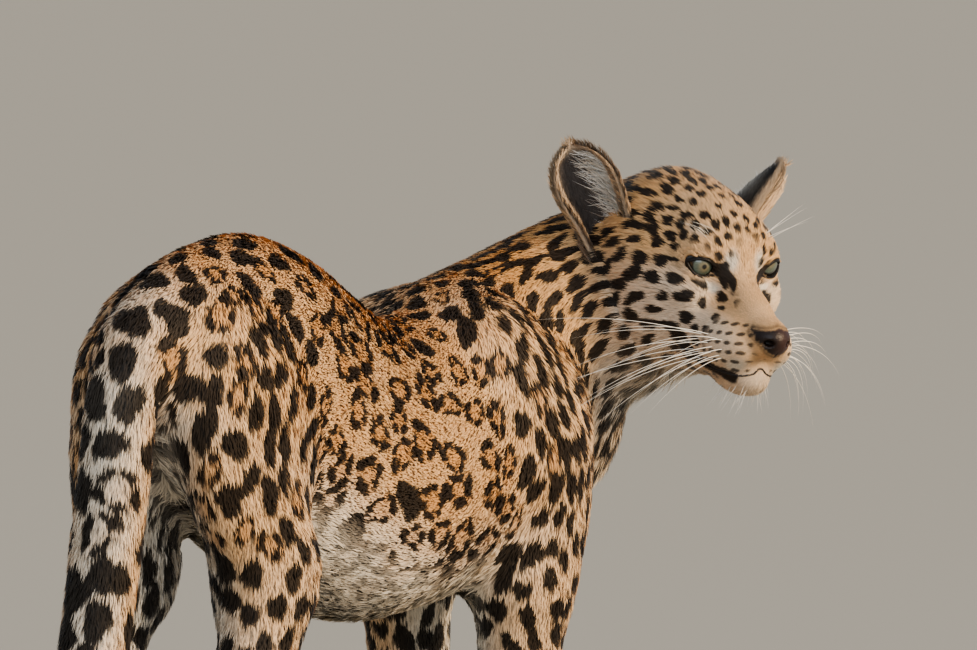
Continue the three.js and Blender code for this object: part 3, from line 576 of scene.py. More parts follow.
ROW_STEP, ROW_FIRST, DOT_STEP = 7.6, -32.0, 6.8
DOT_LENGTH, DOT_HEIGHT = 2.3, 1.7
NOSE_TOP, NOSE_TOP_FALL = -20.0, 0.27
NOSE_FOOT, NOSE_FOOT_RISE = -43.0, 0.036
NOSE_HALF, NOSE_BACK = 17.8, 91.0

# The coat's lie, depth, ground colour and markings over the whole skin
NOSE_TIP = np.array([110.0, 0.0, -34.0])
BLEND_OVER = 14.0
HEAD_COAT = 3.0
CHEST_LIE = (-0.35, 0.1, -1.0)
HANG = (0.0, 0.0, -0.22)
# Of each form: the lie along its line, then the numbers that the coat uses, in this order: a tuft's length
# and lift, the spacing of tufts and of marks, a mark's radius and stretch along the lie, and the share of
# rosettes
LENGTH, LIFT, TUFT_STEP, MARK_STEP, MARK_RADIUS, STRETCH, ROSETTES = range(7)
FORMS = {
    "rump": (-1, 11, 3.2, 1.6, 27, 12.8, 1.22, 0.3),
    "trunk": (-1, 11, 3.0, 1.6, 34, 16.4, 1.25, 0.9),
    "back": (-1, 10.5, 3.0, 1.6, 22, 10.4, 1.35, 0.2),
    "neck": (-1, 11, 3.6, 1.3, 17.5, 8.4, 1.5, 0.03),
    "chest": (-1, 17, 5.5, 1.6, 20, 9.2, 1.3, 0.0),
    "tail": (1, 13, 4.2, 1.4, 32, 15.2, 1.12, 0.15),
    "thigh": (1, 11, 3.2, 1.5, 25, 11.8, 1.2, 0.25),
    "shank": (1, 9, 3.0, 1.3, 21, 9.6, 1.15, 0.0),
    "foot": (1, 6.5, 2.4, 1.15, 14, 5.6, 1.2, 0.0),
    "shoulder": (1, 10.5, 3.0, 1.45, 21, 10.0, 1.3, 0.1),
    "forearm": (1, 8, 2.8, 1.3, 19.5, 9.0, 1.1, 0.0),
    "head": (0, 7, 2.2, 0.92, 16.0, 5.6, 1.1, 0.0),
}
LEG_FORMS = {"hind": ("thigh", "shank", "foot"), "fore": ("shoulder", "forearm")}
COAT_PIECES = {
    "coat_head_left": ["head_left", "ear_left"], "coat_head_right": ["head_right", "ear_right"],
    "coat_neck": ["neck", "chest"], "coat_rump": ["rump"], "coat_flank": ["flank"], "coat_back": ["back"],
    "coat_hind_legs": [f"hind_{side}_{number}" for side in ("left", "right") for number in range(3)],
    "coat_fore_legs": [f"fore_{side}_{number}" for side in ("left", "right") for number in range(2)],
    "coat_tail": ["tail"],
}
RUMP_END, FLANK_END = -95.0, 85.0

# The ears' tufts, as length, lift and spacing, how far round an ear's unwrap goes, and what "ear" says of a
# point
EAR_TUFTS, EAR_ROOT_TUFTS, EAR_RIM_TUFTS = (6.5, 1.8, 0.95), (15.0, 5.0, 1.0), (8.5, 3.6, 0.8)
EAR_TURN = 2.6
# Painted light: the left ear's cup is painted as lit, paler and warmer than the right ear's grey cup.
EAR_BACK, GREY_CUP, PAINTED_LIT_CUP = 1.0, 2.0, 3.0
LEG_PALE, LEG_PALE_REST = {"thigh": -0.05, "shank": 0.2, "foot": 0.3}, 0.08


def ripple(p, size, seed):
    """Smooth random values from -1 to 1: random numbers on a lattice, blended by an S curve between them."""
    table = np.random.default_rng(seed).uniform(-1, 1, (32, 32, 32))
    g = p / size
    base = np.floor(g).astype(int)
    t = g - base
    t = t * t * (3 - 2 * t)
    total = 0.0
    for corner in range(8):
        o = np.array([corner & 1, corner >> 1 & 1, corner >> 2 & 1])
        at = (base + o) % 32
        total = total + table[at[:, 0], at[:, 1], at[:, 2]] * np.where(o, t, 1 - t).prod(1)
    return total


def colour(name):
    """A colour of the panel's settings as three numbers."""
    return np.array(getattr(bpy.context.scene.leopard_colours, name)[:3])


def bump_of(q, centre, radii):
    """A soft round hill, 1 at its centre and small past its radii."""
    return np.exp(-(((q - np.array(centre, float)) / np.array(radii, float)) ** 2).sum(1))


def face_ground(q):
    """How pale the head's ground is, 0 tan and 1 white."""
    m = mirrored(q)
    cheek = step(18, 34, m[:, 1]) * step(20, -6, q[:, 2])
    pale = 0.16 + 0.42 * cheek
    pale = np.maximum(pale, step(-42, -66, q[:, 2]) * 0.62)
    for centre, radii, share in PALE_PATCHES:
        pale = np.maximum(pale, bump_of(m, centre, radii) * share)
    pale = pale * (1 - 0.8 * bump_of(m, (36, 40, 1), (6, 6, 6)))
    bridge = np.abs(q[:, 1]) < 13
    pale = np.where(bridge & (q[:, 2] > -50) & (q[:, 0] > 56), np.minimum(pale, 0.24), pale)
    return np.clip(pale, 0, 1)


def face_marks(q):
    """The face's own marks, 0 to 1: lid lines, the upper one with a painted shadow of the brow, tear patch,
    dots, mouth corners and the nose's edge.
    """
    m = mirrored(q)
    r = m - EYE
    across, up, out = r @ EYE_ACROSS, r @ EYE_UP, r @ EYE_OUT
    top, bottom = opening_edge(across)
    # The upper lid's line is wider than the lower's: a real dark edge with a painted shadow of the brow over
    # it.
    line = np.where(up > 0, np.abs(up - top - 0.8) - 2.6, np.abs(up + bottom) - 0.9)
    beside = np.abs(across - OPENING_MIDDLE) < OPENING_HALF + 1.5
    dark = step(0.7, -0.5, line) * beside * (out > 0)
    tear = path_distance(m, TEAR_PATCH)
    dark = np.maximum(dark, step(6.6, 4.6, tear + 0.3 * np.maximum(m[:, 0] - 46, 0)))
    back = path_distance(m, OUTER_STREAK)
    dark = np.maximum(dark, step(2.6, 1.2, back))
    corner = path_distance(m, MOUTH_PATCH) + 1.2 * ripple(q, 5, 3)
    dark = np.maximum(dark, step(9.0, 6.5, corner + 0.1 * np.maximum(m[:, 0] - 60, 0)))
    row = (m[:, 2] - ROW_FIRST) / ROW_STEP - 0.02 * (m[:, 0] - 80)
    along = (m[:, 0] + 2.5 * np.round(row)) / DOT_STEP
    off_dot = (along - np.round(along)) * DOT_STEP / DOT_LENGTH
    off_row = (row - np.round(row)) * ROW_STEP / DOT_HEIGHT
    pads = step(60, 66, m[:, 0]) * step(101, 97, m[:, 0]) * step(-66, -62, m[:, 2]) * step(-20, -24, m[:, 2])
    dark = np.maximum(dark, 0.9 * step(1.2, 0.8, np.hypot(off_dot, off_row)) * pads * step(9, 12, m[:, 1]))
    edge = np.exp(-((leather_depth(q) + 1.2) / 1.3) ** 2)
    return np.clip(np.maximum(dark, 0.6 * edge * (m[:, 0] > 88)), 0, 1)


def leather_depth(q):
    """How far inside the nose's bare skin a point lies: a wedge with a sloping top and a round V below."""
    m = mirrored(q)
    top = NOSE_TOP - NOSE_TOP_FALL * m[:, 1] - q[:, 2]
    bottom = q[:, 2] - NOSE_FOOT - NOSE_FOOT_RISE * m[:, 1] ** 2
    return np.minimum(np.minimum(top, bottom), np.minimum(NOSE_HALF - m[:, 1], (q[:, 0] - NOSE_BACK) * 1.5))


def leather(q):
    """Where the nose is bare, 0 to 1."""
    return step(-0.5, 0.7, leather_depth(q))


def no_spots(q):
    """Where the head carries no free spots: the muzzle, the bridge and round the eyes."""
    m = mirrored(q)
    bare = np.maximum(step(60, 72, m[:, 0]), step(21, 17.5, np.linalg.norm(m - EYE, axis=1)))
    bridge = step(38, 50, m[:, 0]) * step(17, 11, m[:, 1]) * step(-40, -30, m[:, 2])
    return np.maximum(bare, bridge)


def coat_forms(p):
    """Each form's name, kind, distance, lie, place along and round it, and how far up or out points lie.

    The head has its pale share there instead, with the sign changed, and the chest has none. The trunk comes
    first and the head last but one.
    """
    found = []
    for name, limb in LIMBS.items():
        kind = name if name in FORMS else LEG_FORMS[name[:4]][int(name[-1])]
        d, tangent, along, across, rise = limb.follow(p)
        outer = across * (1 if "left" in name else -1) if "_" in name else rise
        found.append((name, kind, d, tangent * FORMS[kind][0], along, np.arctan2(across, rise), outer))
    q = to_head(p)
    lie = unit(q - NOSE_TIP) @ HEAD_AXES
    around = np.arctan2(q[:, 1], q[:, 2] + 15)
    d = closed_head(q) + HEAD_COAT
    found.append(("head", "head", d, lie, (q[:, 0] + 115) / 240, around, -face_ground(q)))
    d = ellipsoid(p, CHEST["centre"], CHEST["radii"])
    lie = np.tile(unit(np.array(CHEST_LIE)), (len(p), 1))
    side = p - np.array(CHEST["centre"], float)
    around = np.arctan2(side[:, 1], side[:, 0])
    found.append(("chest", "chest", d, lie, (side[:, 2] + 60) / 120, around, np.zeros(len(p))))
    return found


def form_numbers(kind, x, rise):
    """The numbers of a form for the coat. The trunk's change from rump to shoulder and towards the back."""
    own = np.array(FORMS[kind][1:], float)[None]
    if kind == "trunk":
        own = mix(np.array(FORMS["rump"][1:]), own, step(-250, -150, x)[:, None])
        own = mix(own, np.array(FORMS["back"][1:]), step(0.7, 0.97, rise)[:, None])
        own = mix(own, np.array(FORMS["shoulder"][1:]), step(130, 220, x)[:, None])
    return own


def form_pale(kind, outer):
    """How pale a form's ground is, 0 to 1: more on undersides and inner sides than above and outside."""
    shares = {
        "trunk": lambda: 0.1 + 0.9 * step(-0.2, -0.8, outer),
        "neck": lambda: step(-0.05, -0.9, outer) * 0.9,
        "head": lambda: -outer,
        "chest": lambda: np.full(len(outer), 0.75),
        "tail": lambda: 0.22 + 0.6 * step(0.1, -0.9, outer),
    }
    if kind in shares:
        return np.clip(shares[kind](), 0, 1)
    return np.clip(0.2 + 0.8 * step(0.15, -0.75, outer) + LEG_PALE.get(kind, LEG_PALE_REST), 0, 1)


def hide_map(points, normals):
    """What the coat needs at points of the skin, blended between the forms by exp(-distance / BLEND_OVER).

    The result holds the lie, the numbers of FORMS, the pale and deep shares of the ground, the form's name
    for the unwrap, and the place along and round that form.
    """
    forms = coat_forms(points)
    distances = np.stack([form[2] for form in forms])
    weights = np.exp(-(distances - distances.min(0)) / BLEND_OVER)
    weights /= weights.sum(0)
    trunk, head = weights[0], weights[-2]
    lie = sum(w[:, None] * form[3] for w, form in zip(weights, forms))
    lie = lie + np.array(HANG) * (1 - head)[:, None]
    numbers, pale, deep = 0.0, 0.0, 0.0
    for w, (_, kind, _, _, _, _, outer) in zip(weights, forms):
        numbers = numbers + w[:, None] * form_numbers(kind, points[:, 0], outer)
        pale = pale + w * form_pale(kind, outer)
        if kind in ("trunk", "neck"):
            deep = deep + w * step(0.5, 1.0, outer)
    q = to_head(points)
    numbers[:, TUFT_STEP] *= 1 - 0.22 * head * step(30, 80, q[:, 0])
    first = distances.argmin(0)
    names = np.array([form[0] for form in forms])[first]
    names = np.where(names == "head", np.where(q[:, 1] > 0, "head_left", "head_right"), names)
    parts = np.where(points[:, 0] < RUMP_END, "rump", np.where(points[:, 0] < FLANK_END, "flank", "back"))
    names = np.where(names == "trunk", parts, names)
    pick = np.arange(len(points))
    along = np.stack([form[4] for form in forms])[first, pick]
    around = np.stack([form[5] for form in forms])[first, pick]
    return {
        "lie": without(unit(lie), normals), "numbers": numbers, "pale": np.clip(pale, 0, 1), "deep": deep,
        "name": names, "along": along, "around": around, "head": head, "trunk": trunk,
    }


def ear_sheets(side, rows=44, columns=56):
    """Points of the ear's outer and inner sheets, its outward directions, and the place along and across.

    A row at share v of the length is an arc: half its angle falls towards the tip, half its width is widest
    near the base and closes as a rounded tip, and its middle bows back by a sine.
    """
    tip = EAR_TIPS[side] * (1, side, 1)
    base = EAR_BASE * (1, side, 1)
    up = unit(tip - base)
    length = np.linalg.norm(tip - base)
    face = without(EAR_FACE * (1, side, 1), up)
    across = np.cross(face, up)
    v = (1 - (1 - np.linspace(0, 1, rows + 1)) ** 1.6)[:, None]
    rise = np.sin(np.minimum(v / EAR_WAIST, 1) * math.pi / 2)
    fall = np.clip(v - EAR_WAIST, 0, 1) / (1 - EAR_WAIST)
    tip_width = EAR_WIDEST * np.sqrt(1 - fall**EAR_ROUNDNESS)
    width = np.where(v < EAR_WAIST, EAR_FOOT - (EAR_FOOT - EAR_WIDEST) * rise, tip_width)
    curl = np.radians(EAR_CURL - EAR_OPENING * v**EAR_CURL_POWER)
    radius = np.maximum(width - EAR_INSET, 5.0) / curl
    wall = EAR_WALL * (1 - EAR_THINNING * v)
    u = np.linspace(-1, 1, columns + 1)[None, :]
    turn = u * curl
    outward = across * np.sin(turn)[..., None] - face * np.cos(turn)[..., None]
    middle = base + up * (length * v)[..., None] + face * (radius - EAR_BOW * np.sin(math.pi * v))[..., None]
    sheets = [middle + outward * (radius - EAR_INSET * 0.4 - wall * inside)[..., None] for inside in (0, 1)]
    return sheets, outward, v + 0 * u, u + 0 * v


def ear(side):
    """The ear as one closed mesh in the animal's millimetres, with what the coat needs at each point."""
    sheets, outward, v, u = ear_sheets(side)
    rows, columns = v.shape
    points = from_head(np.concatenate([s.reshape(-1, 3) for s in sheets]))
    number = np.arange(2 * rows * columns).reshape(2, rows, columns)
    a, b = number
    quads = [
        np.stack([a[:-1, :-1], a[:-1, 1:], a[1:, 1:], a[1:, :-1]], -1).reshape(-1, 4),
        np.stack([b[:-1, :-1], b[1:, :-1], b[1:, 1:], b[:-1, 1:]], -1).reshape(-1, 4),
        np.stack([a[:-1, 0], a[1:, 0], b[1:, 0], b[:-1, 0]], -1),
        np.stack([a[:-1, -1], b[:-1, -1], b[1:, -1], a[1:, -1]], -1),
        np.stack([a[0, :-1], b[0, :-1], b[0, 1:], a[0, 1:]], -1),
        np.stack([a[-1, :-1], a[-1, 1:], b[-1, 1:], b[-1, :-1]], -1),
    ]
    quads = np.vstack(quads)
    lie = np.concatenate([np.gradient(s, axis=0).reshape(-1, 3) for s in sheets]) @ HEAD_AXES
    inner = np.repeat([0.0, 1.0], rows * columns)
    normals = np.concatenate([outward.reshape(-1, 3), -outward.reshape(-1, 3)]) @ HEAD_AXES
    along, across = np.tile(v.ravel(), 2), np.tile(u.ravel(), 2)
    hidden = closed_head(to_head(points)) < 0.8
    root = (step(0.42, 0.05, along) * (1 - inner))[:, None]
    rim = np.maximum(step(0.8, 0.95, np.abs(across)), step(0.84, 0.96, along))[:, None]
    numbers = np.zeros((len(points), 7))
    numbers[:, :3] = mix(mix(np.array(EAR_TUFTS), EAR_ROOT_TUFTS, root), EAR_RIM_TUFTS, rim * (1 - root))
    # Painted light: the left ear's cup gets the lit colour, the right ear's the grey one.
    inner_kind = PAINTED_LIT_CUP if side > 0 else GREY_CUP
    return {
        "points": points, "quads": quads, "normals": normals, "lie": without(unit(lie), normals),
        "numbers": numbers, "pale": inner, "deep": np.zeros(len(points)), "along": along,
        "around": across * EAR_TURN, "name": np.full(len(points), "ear_left" if side > 0 else "ear_right"),
        "ear": np.where(inner > 0, inner_kind, EAR_BACK),
        "shown": np.where(hidden, 0.0, 1.0), "head": np.ones(len(points)), "trunk": np.zeros(len(points)),
    }


def surface_out(across, up):
    """How far out of the head its closed skin lies over places of the eye's opening, found by halving."""
    low, high = np.full(across.shape, -6.0), np.full(across.shape, 30.0)
    for _ in range(22):
        middle = (low + high) / 2
        q = EYE + across[..., None] * EYE_ACROSS + up[..., None] * EYE_UP + middle[..., None] * EYE_OUT
        outside = closed_head(q.reshape(-1, 3)).reshape(across.shape) > 0
        low, high = np.where(outside, low, middle), np.where(outside, middle, high)
    return high


def lid_edge(side, around=96):
    """The lids' edge as a closed roll round the eye's opening, in the animal's millimetres.

    The profile is carried round the opening's outline, two parabolas that meet at the corners. It starts sunk
    in the skin outside the outline, rises over the edge, and goes down inside to the eyeball.
    """
    turn = np.linspace(0, 2 * math.pi, around, endpoint=False)
    across = OPENING_MIDDLE + OPENING_HALF * np.cos(turn)
    arch = np.where(np.sin(turn) > 0, OPENING_TOP, OPENING_BOTTOM)
    up = arch * np.sin(turn) * np.abs(np.sin(turn))
    outline = np.stack([across, up], axis=1)
    ahead = np.roll(outline, -1, axis=0) - np.roll(outline, 1, axis=0)
    for _ in range(4):
        ahead = ahead + 0.5 * (np.roll(ahead, 1, axis=0) + np.roll(ahead, -1, axis=0))
    outer = unit(np.stack([ahead[:, 1], -ahead[:, 0]], axis=1))
    profile = np.array(LID_PROFILE)
    flat = outline[:, None, :] + outer[:, None, :] * profile[None, :, :1]
    out = surface_out(flat[..., 0], flat[..., 1]) + profile[None, :, 1]
    q = EYE + flat[..., :1] * EYE_ACROSS + flat[..., 1:] * EYE_UP + out[..., None] * EYE_OUT
    q = q * (1, side, 1)
    number = np.arange(around * len(profile)).reshape(around, -1)
    following = np.roll(number, -1, axis=0)
    quads = np.stack([number[:, :-1], number[:, 1:], following[:, 1:], following[:, :-1]], -1).reshape(-1, 4)
    return from_head(q.reshape(-1, 3)), quads[:, ::-1] if side > 0 else quads


@lru_cache(maxsize=1)
def hide():
    """The whole skin as one mesh with what the coat needs at each of its points, worked out once."""
    axes, middle = lattice()
    points, quads = cell_mesh(lattice_values(axes, middle), axes, middle)
    points = onto_skin(points)
    normals = point_normals(points, quads)
    skin = hide_map(points, normals)
    q = to_head(points)
    shown = 1 - skin["head"] * leather(q)
    shown *= points[:, 2] > 1.5
    shown *= 1 - skin["head"] * (np.linalg.norm(mirrored(q) - EYE, axis=1) < EYE_RADIUS + 0.8)
    skin.update(points=points, quads=quads, normals=normals, ear=np.zeros(len(points)), shown=shown)
    parts = [skin, ear(1), ear(-1)]
    start = 0
    for part in parts:
        part["quads"] = part["quads"] + start
        start += len(part["points"])
    return {key: np.concatenate([part[key] for part in parts]) for key in skin}


def triangles_of(quads):
    return np.vstack([quads[:, [0, 1, 2]], quads[:, [0, 2, 3]]])


def scattered(count, crowding, seed):
    """Random places on the skin, as the corners of their triangles and three weights.

    A triangle is drawn in proportion to its area times its crowding, evenly along the running total.
    """
    skin = hide()
    triangles = triangles_of(skin["quads"])
    a, b, c = (skin["points"][triangles[:, i]] for i in range(3))
    share = np.linalg.norm(np.cross(b - a, c - a), axis=1) * crowding[triangles].mean(1)
    running = np.cumsum(share)
    draw = np.random.default_rng(seed)
    at = np.searchsorted(running, (np.arange(count) + draw.random(count)) / count * running[-1])
    corners = triangles[np.minimum(at, len(triangles) - 1)]
    r, s = np.sqrt(draw.random(count)), draw.random(count)
    return corners, np.stack([1 - r, r * (1 - s), r * s], axis=1)


def carried(corners, weights, key):
    """A value of the skin's points at places in its triangles."""
    values = hide()[key][corners]
    return (values * weights.reshape(weights.shape + (1,) * (values.ndim - 2))).sum(1)


def tree_of(places):
    """A search tree that finds the nearest of some places."""
    tree = kdtree.KDTree(len(places))
    for number, place in enumerate(places):
        tree.insert(place, number)
    tree.balance()
    return tree


@lru_cache(maxsize=1)
def free_marks():
    """The free marks: random places on the skin, each kept if no other is nearer than the spacing there."""
    skin = hide()
    clear = (skin["ear"] == 0) * (1 - skin["head"] * no_spots(to_head(skin["points"])))
    corners, weights = scattered(MARK_TRIES, clear / np.maximum(skin["numbers"][:, MARK_STEP], 4) ** 2, 11)
    places = carried(corners, weights, "points")
    numbers = carried(corners, weights, "numbers")
    head = carried(corners, weights, "head")
    q = to_head(places)
    crown = head * np.maximum(step(-2, 24, q[:, 2]), 0.9 * step(34, 62, q[:, 0]))
    spacing = numbers[:, MARK_STEP] * MARKS_CLOSE * (1 - CROWN_CLOSER * crown)
    spacing = spacing * (1 + 0.08 * ripple(places, 40, 5))
    tree = tree_of(places)
    free = np.ones(len(places), bool)
    kept = []
    normals = unit(carried(corners, weights, "normals"))
    lie = without(unit(carried(corners, weights, "lie")), normals)
    for number in range(len(places)):
        if free[number]:
            kept.append(number)
            long = numbers[number, STRETCH]
            near = np.array([found[1] for found in tree.find_range(places[number], spacing[number] * long)])
            d = places[near] - places[number]
            along = d @ lie[number]
            across = np.sqrt(np.maximum((d**2).sum(1) - along**2, 0))
            free[near[np.hypot(along / long, across * long) < spacing[number]]] = False
    kept = np.array(kept)
    draw = np.random.default_rng(12)
    normals, lie = normals[kept], lie[kept]
    swing = draw.normal(0, 0.22, len(kept))[:, None]
    first = lie * np.cos(swing) + np.cross(normals, lie) * np.sin(swing)
    numbers = numbers[kept]
    radius = numbers[:, MARK_RADIUS] * draw.uniform(0.8, 1.12, len(kept)) * (1 - CROWN_SMALLER * crown[kept])
    stretch = numbers[:, STRETCH] * draw.uniform(0.88, 1.15, len(kept))
    rosette = draw.random(len(kept)) < numbers[:, ROSETTES]
    radius = np.where(rosette, radius * 1.05, radius)
    return {
        "places": places[kept], "first": first, "second": np.cross(normals, first), "radius": radius,
        "stretch": stretch, "rosette": rosette, "phases": draw.uniform(0, 2 * math.pi, (len(kept), 5)),
        "arcs": draw.integers(3, 6, len(kept)), "open": draw.uniform(0.4, 0.58, len(kept)),
    }


def spots(p):
    """How dark the free marks are at points, 0 to 1, and how much of a rosette's tawny heart is there.

    A mark's edge is a circle with waves of 2, 3 and 5 a turn. A solid mark fills it, and a rosette keeps a
    ring of arcs. Each point looks at its three nearest marks.
    """
    marks = free_marks()
    tree = tree_of(marks["places"])
    near = np.array([[found[1] for found in tree.find_n(point, 3)] for point in p])
    wave = 0.05 * ripple(p, 2.8, 21) + 0.09 * ripple(p, 7.5, 22)
    dark, heart = np.zeros(len(p)), np.zeros(len(p))
    for i in near.T:
        d = p - marks["places"][i]
        radius, stretch = marks["radius"][i], marks["stretch"][i]
        x = (d * marks["first"][i]).sum(1) / (radius * stretch)
        y = (d * marks["second"][i]).sum(1) / (radius / stretch)
        turn, away = np.arctan2(y, x), np.hypot(x, y)
        phases = marks["phases"][i].T
        edge = 1.02 + 0.12 * np.cos(2 * turn + phases[0]) + 0.1 * np.cos(3 * turn + phases[1])
        edge = edge + 0.05 * np.cos(5 * turn + phases[2]) + wave
        soft = 0.75 / radius
        solid = step(edge + soft, edge - soft, away)
        arcs = step(-0.98, -0.78, np.cos(marks["arcs"][i] * turn + phases[3]) + 0.5 * wave)
        hollow = step(marks["open"][i] - soft, marks["open"][i] + soft, away * (1 + wave))
        ring = solid * hollow * arcs
        dark = np.maximum(dark, np.where(marks["rosette"][i], ring, solid))
        heart = np.maximum(heart, np.where(marks["rosette"][i], solid, 0))
    return dark, heart


HIDE_KEYS = ("pale", "deep", "head", "trunk", "ear", "along", "around")


def hide_colour(p, pale, deep, head, trunk, ear_side, along, around):
    """The coat's colour at points: the ground from tan to pale, the hearts, the marks, the ears, and painted
    shade on the nose.
    """
    tan, back, white, black = (colour(name) for name in ("ground", "back", "pale", "black"))
    pale = np.clip(pale + 0.07 * ripple(p, 24, 31), 0, 1)[:, None]
    ground = mix(mix(tan, back, deep[:, None]), white, pale)
    dark, heart = spots(p)
    q = to_head(p)
    face = head > 0.5
    free = 1 - head * no_spots(q)
    throat = bump_of(q, *THROAT)
    dark = dark * free * (1 - 0.6 * throat) * (1 - 0.5 * trunk * step(0.65, 0.95, pale[:, 0]))
    ground = mix(ground, white, (0.5 * throat)[:, None])
    dark[face] = np.maximum(dark[face], face_marks(q[face]))
    ground = mix(ground, colour("heart"), (heart * 0.6 * (1 - pale[:, 0]))[:, None])
    result = mix(ground, black, (dark * 0.97)[:, None])
    nose = (head * leather(q))[:, None] * (ear_side[:, None] == 0)
    # Painted shade: the nose's bare skin goes towards black on its right side, the side turned from the light.
    shaded = 0.85 * step(3, -9, q[:, 1])[:, None]
    result = mix(result, mix(colour("nose"), black, shaded), nose)
    outer, inner = ear_side == EAR_BACK, ear_side > EAR_BACK
    rim = np.maximum(step(0.72, 0.95, np.abs(around / EAR_TURN)), step(0.86, 0.97, along))
    patch = np.exp(-(((along - 0.62) / 0.17) ** 2) - (around / 1.1) ** 2)
    back_of_ear = mix(mix(black, white, (patch * 0.9)[:, None]), mix(tan, white, 0.4), (rim * 0.6)[:, None])
    # Painted light: the lit cup is tan mixed with white, and the other keeps the grey ear_inside colour.
    cup = np.where((ear_side == PAINTED_LIT_CUP)[:, None], mix(tan, white, 0.45), colour("ear_inside"))
    inside = mix(cup, mix(tan, white, 0.5), (rim * 0.7)[:, None])
    result = np.where(outer[:, None], back_of_ear, result)
    return np.where(inner[:, None], inside, result)


def add_mesh(name, points, faces, attributes=None, normals=None):
    """A smooth-shaded mesh object at the origin, from places in the animal's millimetres and faces."""
    mesh = bpy.data.meshes.new(name)
    faces = np.asarray(faces)
    mesh.vertices.add(len(points))
    mesh.vertices.foreach_set("co", to_frame(points).astype(np.float32).ravel())
    mesh.loops.add(faces.size)
    mesh.loops.foreach_set("vertex_index", faces.astype(np.int32).ravel())
    mesh.polygons.add(len(faces))
    mesh.polygons.foreach_set("loop_start", np.arange(0, faces.size, faces.shape[1], dtype=np.int32))
    mesh.polygons.foreach_set("use_smooth", np.ones(len(faces), bool))
    mesh.update(calc_edges=True)
    if normals is not None:
        mesh.normals_split_custom_set_from_vertices(normals.tolist())
    for key, values in (attributes or {}).items():
        if values.ndim == 2:
            layer = mesh.attributes.new(key, "FLOAT_COLOR", "POINT")
            opaque = np.hstack([values, np.ones((len(values), 1))])
            layer.data.foreach_set("color", opaque.astype(np.float32).ravel())
        else:
            layer = mesh.attributes.new(key, "FLOAT", "POINT")
            layer.data.foreach_set("value", values.astype(np.float32))
    piece = bpy.data.objects.new(name, mesh)
    bpy.context.scene.collection.objects.link(piece)
    return piece


def finish_piece(piece, material, nodes=()):
    """Gives a piece its material, sets it on the still body, and hides the CAD nodes it covers."""
    piece.data.materials.append(material)
    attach(piece, "root")
    if nodes:
        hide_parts(*nodes)


class Shade:
    """An expression on a node's output: each operator adds the Math node that works it out."""

    def __init__(self, tree, socket):
        self.tree = tree
        self.socket = socket

    @classmethod
    def node(cls, tree, kind, settings=None, output=0, **inputs):
        """Adds a node of a kind, with its settings, then the values or links of its named sockets."""
        made = tree.nodes.new(kind)
        for key, value in (settings or {}).items():
            setattr(made, key, value)
        for key, value in inputs.items():
            place = int(key[1:]) if key[0] == "i" and key[1:].isdigit() else key.replace("_", " ")
            if isinstance(value, Shade):
                tree.links.new(value.socket, made.inputs[place])
            else:
                made.inputs[place].default_value = value
        return cls(tree, made.outputs[output])

    def math(self, operation, first, second):
        return Shade.node(self.tree, "ShaderNodeMath", {"operation": operation}, i0=first, i1=second)

    def __add__(self, other):
        return self.math("ADD", self, other)

    def __rsub__(self, other):
        return self.math("SUBTRACT", other, self)

    def __mul__(self, other):
        return self.math("MULTIPLY", self, other)


def new_material(name):
    """A material with its node tree and the sockets of its shader."""
    material = bpy.data.materials.new(name)
    material.use_nodes = True
    tree = material.node_tree
    return material, tree, tree.nodes["Principled BSDF"].inputs


def plug(tree, socket, value):
    """Links an expression to a socket of the shader."""
    tree.links.new(value.socket, socket)


def attribute(tree, name, output=0):
    """A value that the mesh carries: its colour from output 0, or its number from output 2."""
    return Shade.node(tree, "ShaderNodeAttribute", {"attribute_name": name}, output=output)


def coat_material():
    """Fur: the colour of each tuft from its attribute, soft and dry, with a faint glow at its edges."""
    material, tree, shader = new_material("leopard coat")
    plug(tree, shader["Base Color"], attribute(tree, "coat"))
    shader["Roughness"].default_value = 0.62
    shader["Specular IOR Level"].default_value = 0.28
    shader["Sheen Weight"].default_value = 0.12
    shader["Sheen Roughness"].default_value = 0.4
    return material


def skin_material():
    """Skin under the coat: the same markings, rough, with a fine nap, damp and pebbled where it is bare."""
    material, tree, shader = new_material("leopard skin")
    plug(tree, shader["Base Color"], attribute(tree, "coat"))
    bare = attribute(tree, "bare", output=2)
    plug(tree, shader["Roughness"], 0.75 - bare * 0.36)
    place = Shade.node(tree, "ShaderNodeTexCoord", output=3)
    nap = Shade.node(tree, "ShaderNodeTexNoise", Vector=place, Scale=900.0, Detail=3.0)
    pebbles = Shade.node(tree, "ShaderNodeTexVoronoi", Vector=place, Scale=850.0)
    height = nap * (1.0 - bare) + pebbles * bare * 0.6
    bump = Shade.node(tree, "ShaderNodeBump", Height=height, Strength=0.5, Distance=0.0006)
    plug(tree, shader["Normal"], bump)
    shader["Specular IOR Level"].default_value = 0.35
    return material


def eye_material():
    """Eye: colours of pupil and iris from the attribute, under one wet clear layer."""
    material, tree, shader = new_material("leopard eye")
    plug(tree, shader["Base Color"], attribute(tree, "coat"))
    shader["Roughness"].default_value = 0.25
    shader["Coat Weight"].default_value = 1.0
    shader["Coat Roughness"].default_value = 0.02
    return material


def plain_material(name, tint, roughness):
    """One colour and one roughness all over."""
    material, _, shader = new_material(name)
    shader["Base Color"].default_value = (*tint, 1.0)
    shader["Roughness"].default_value = roughness
    return material


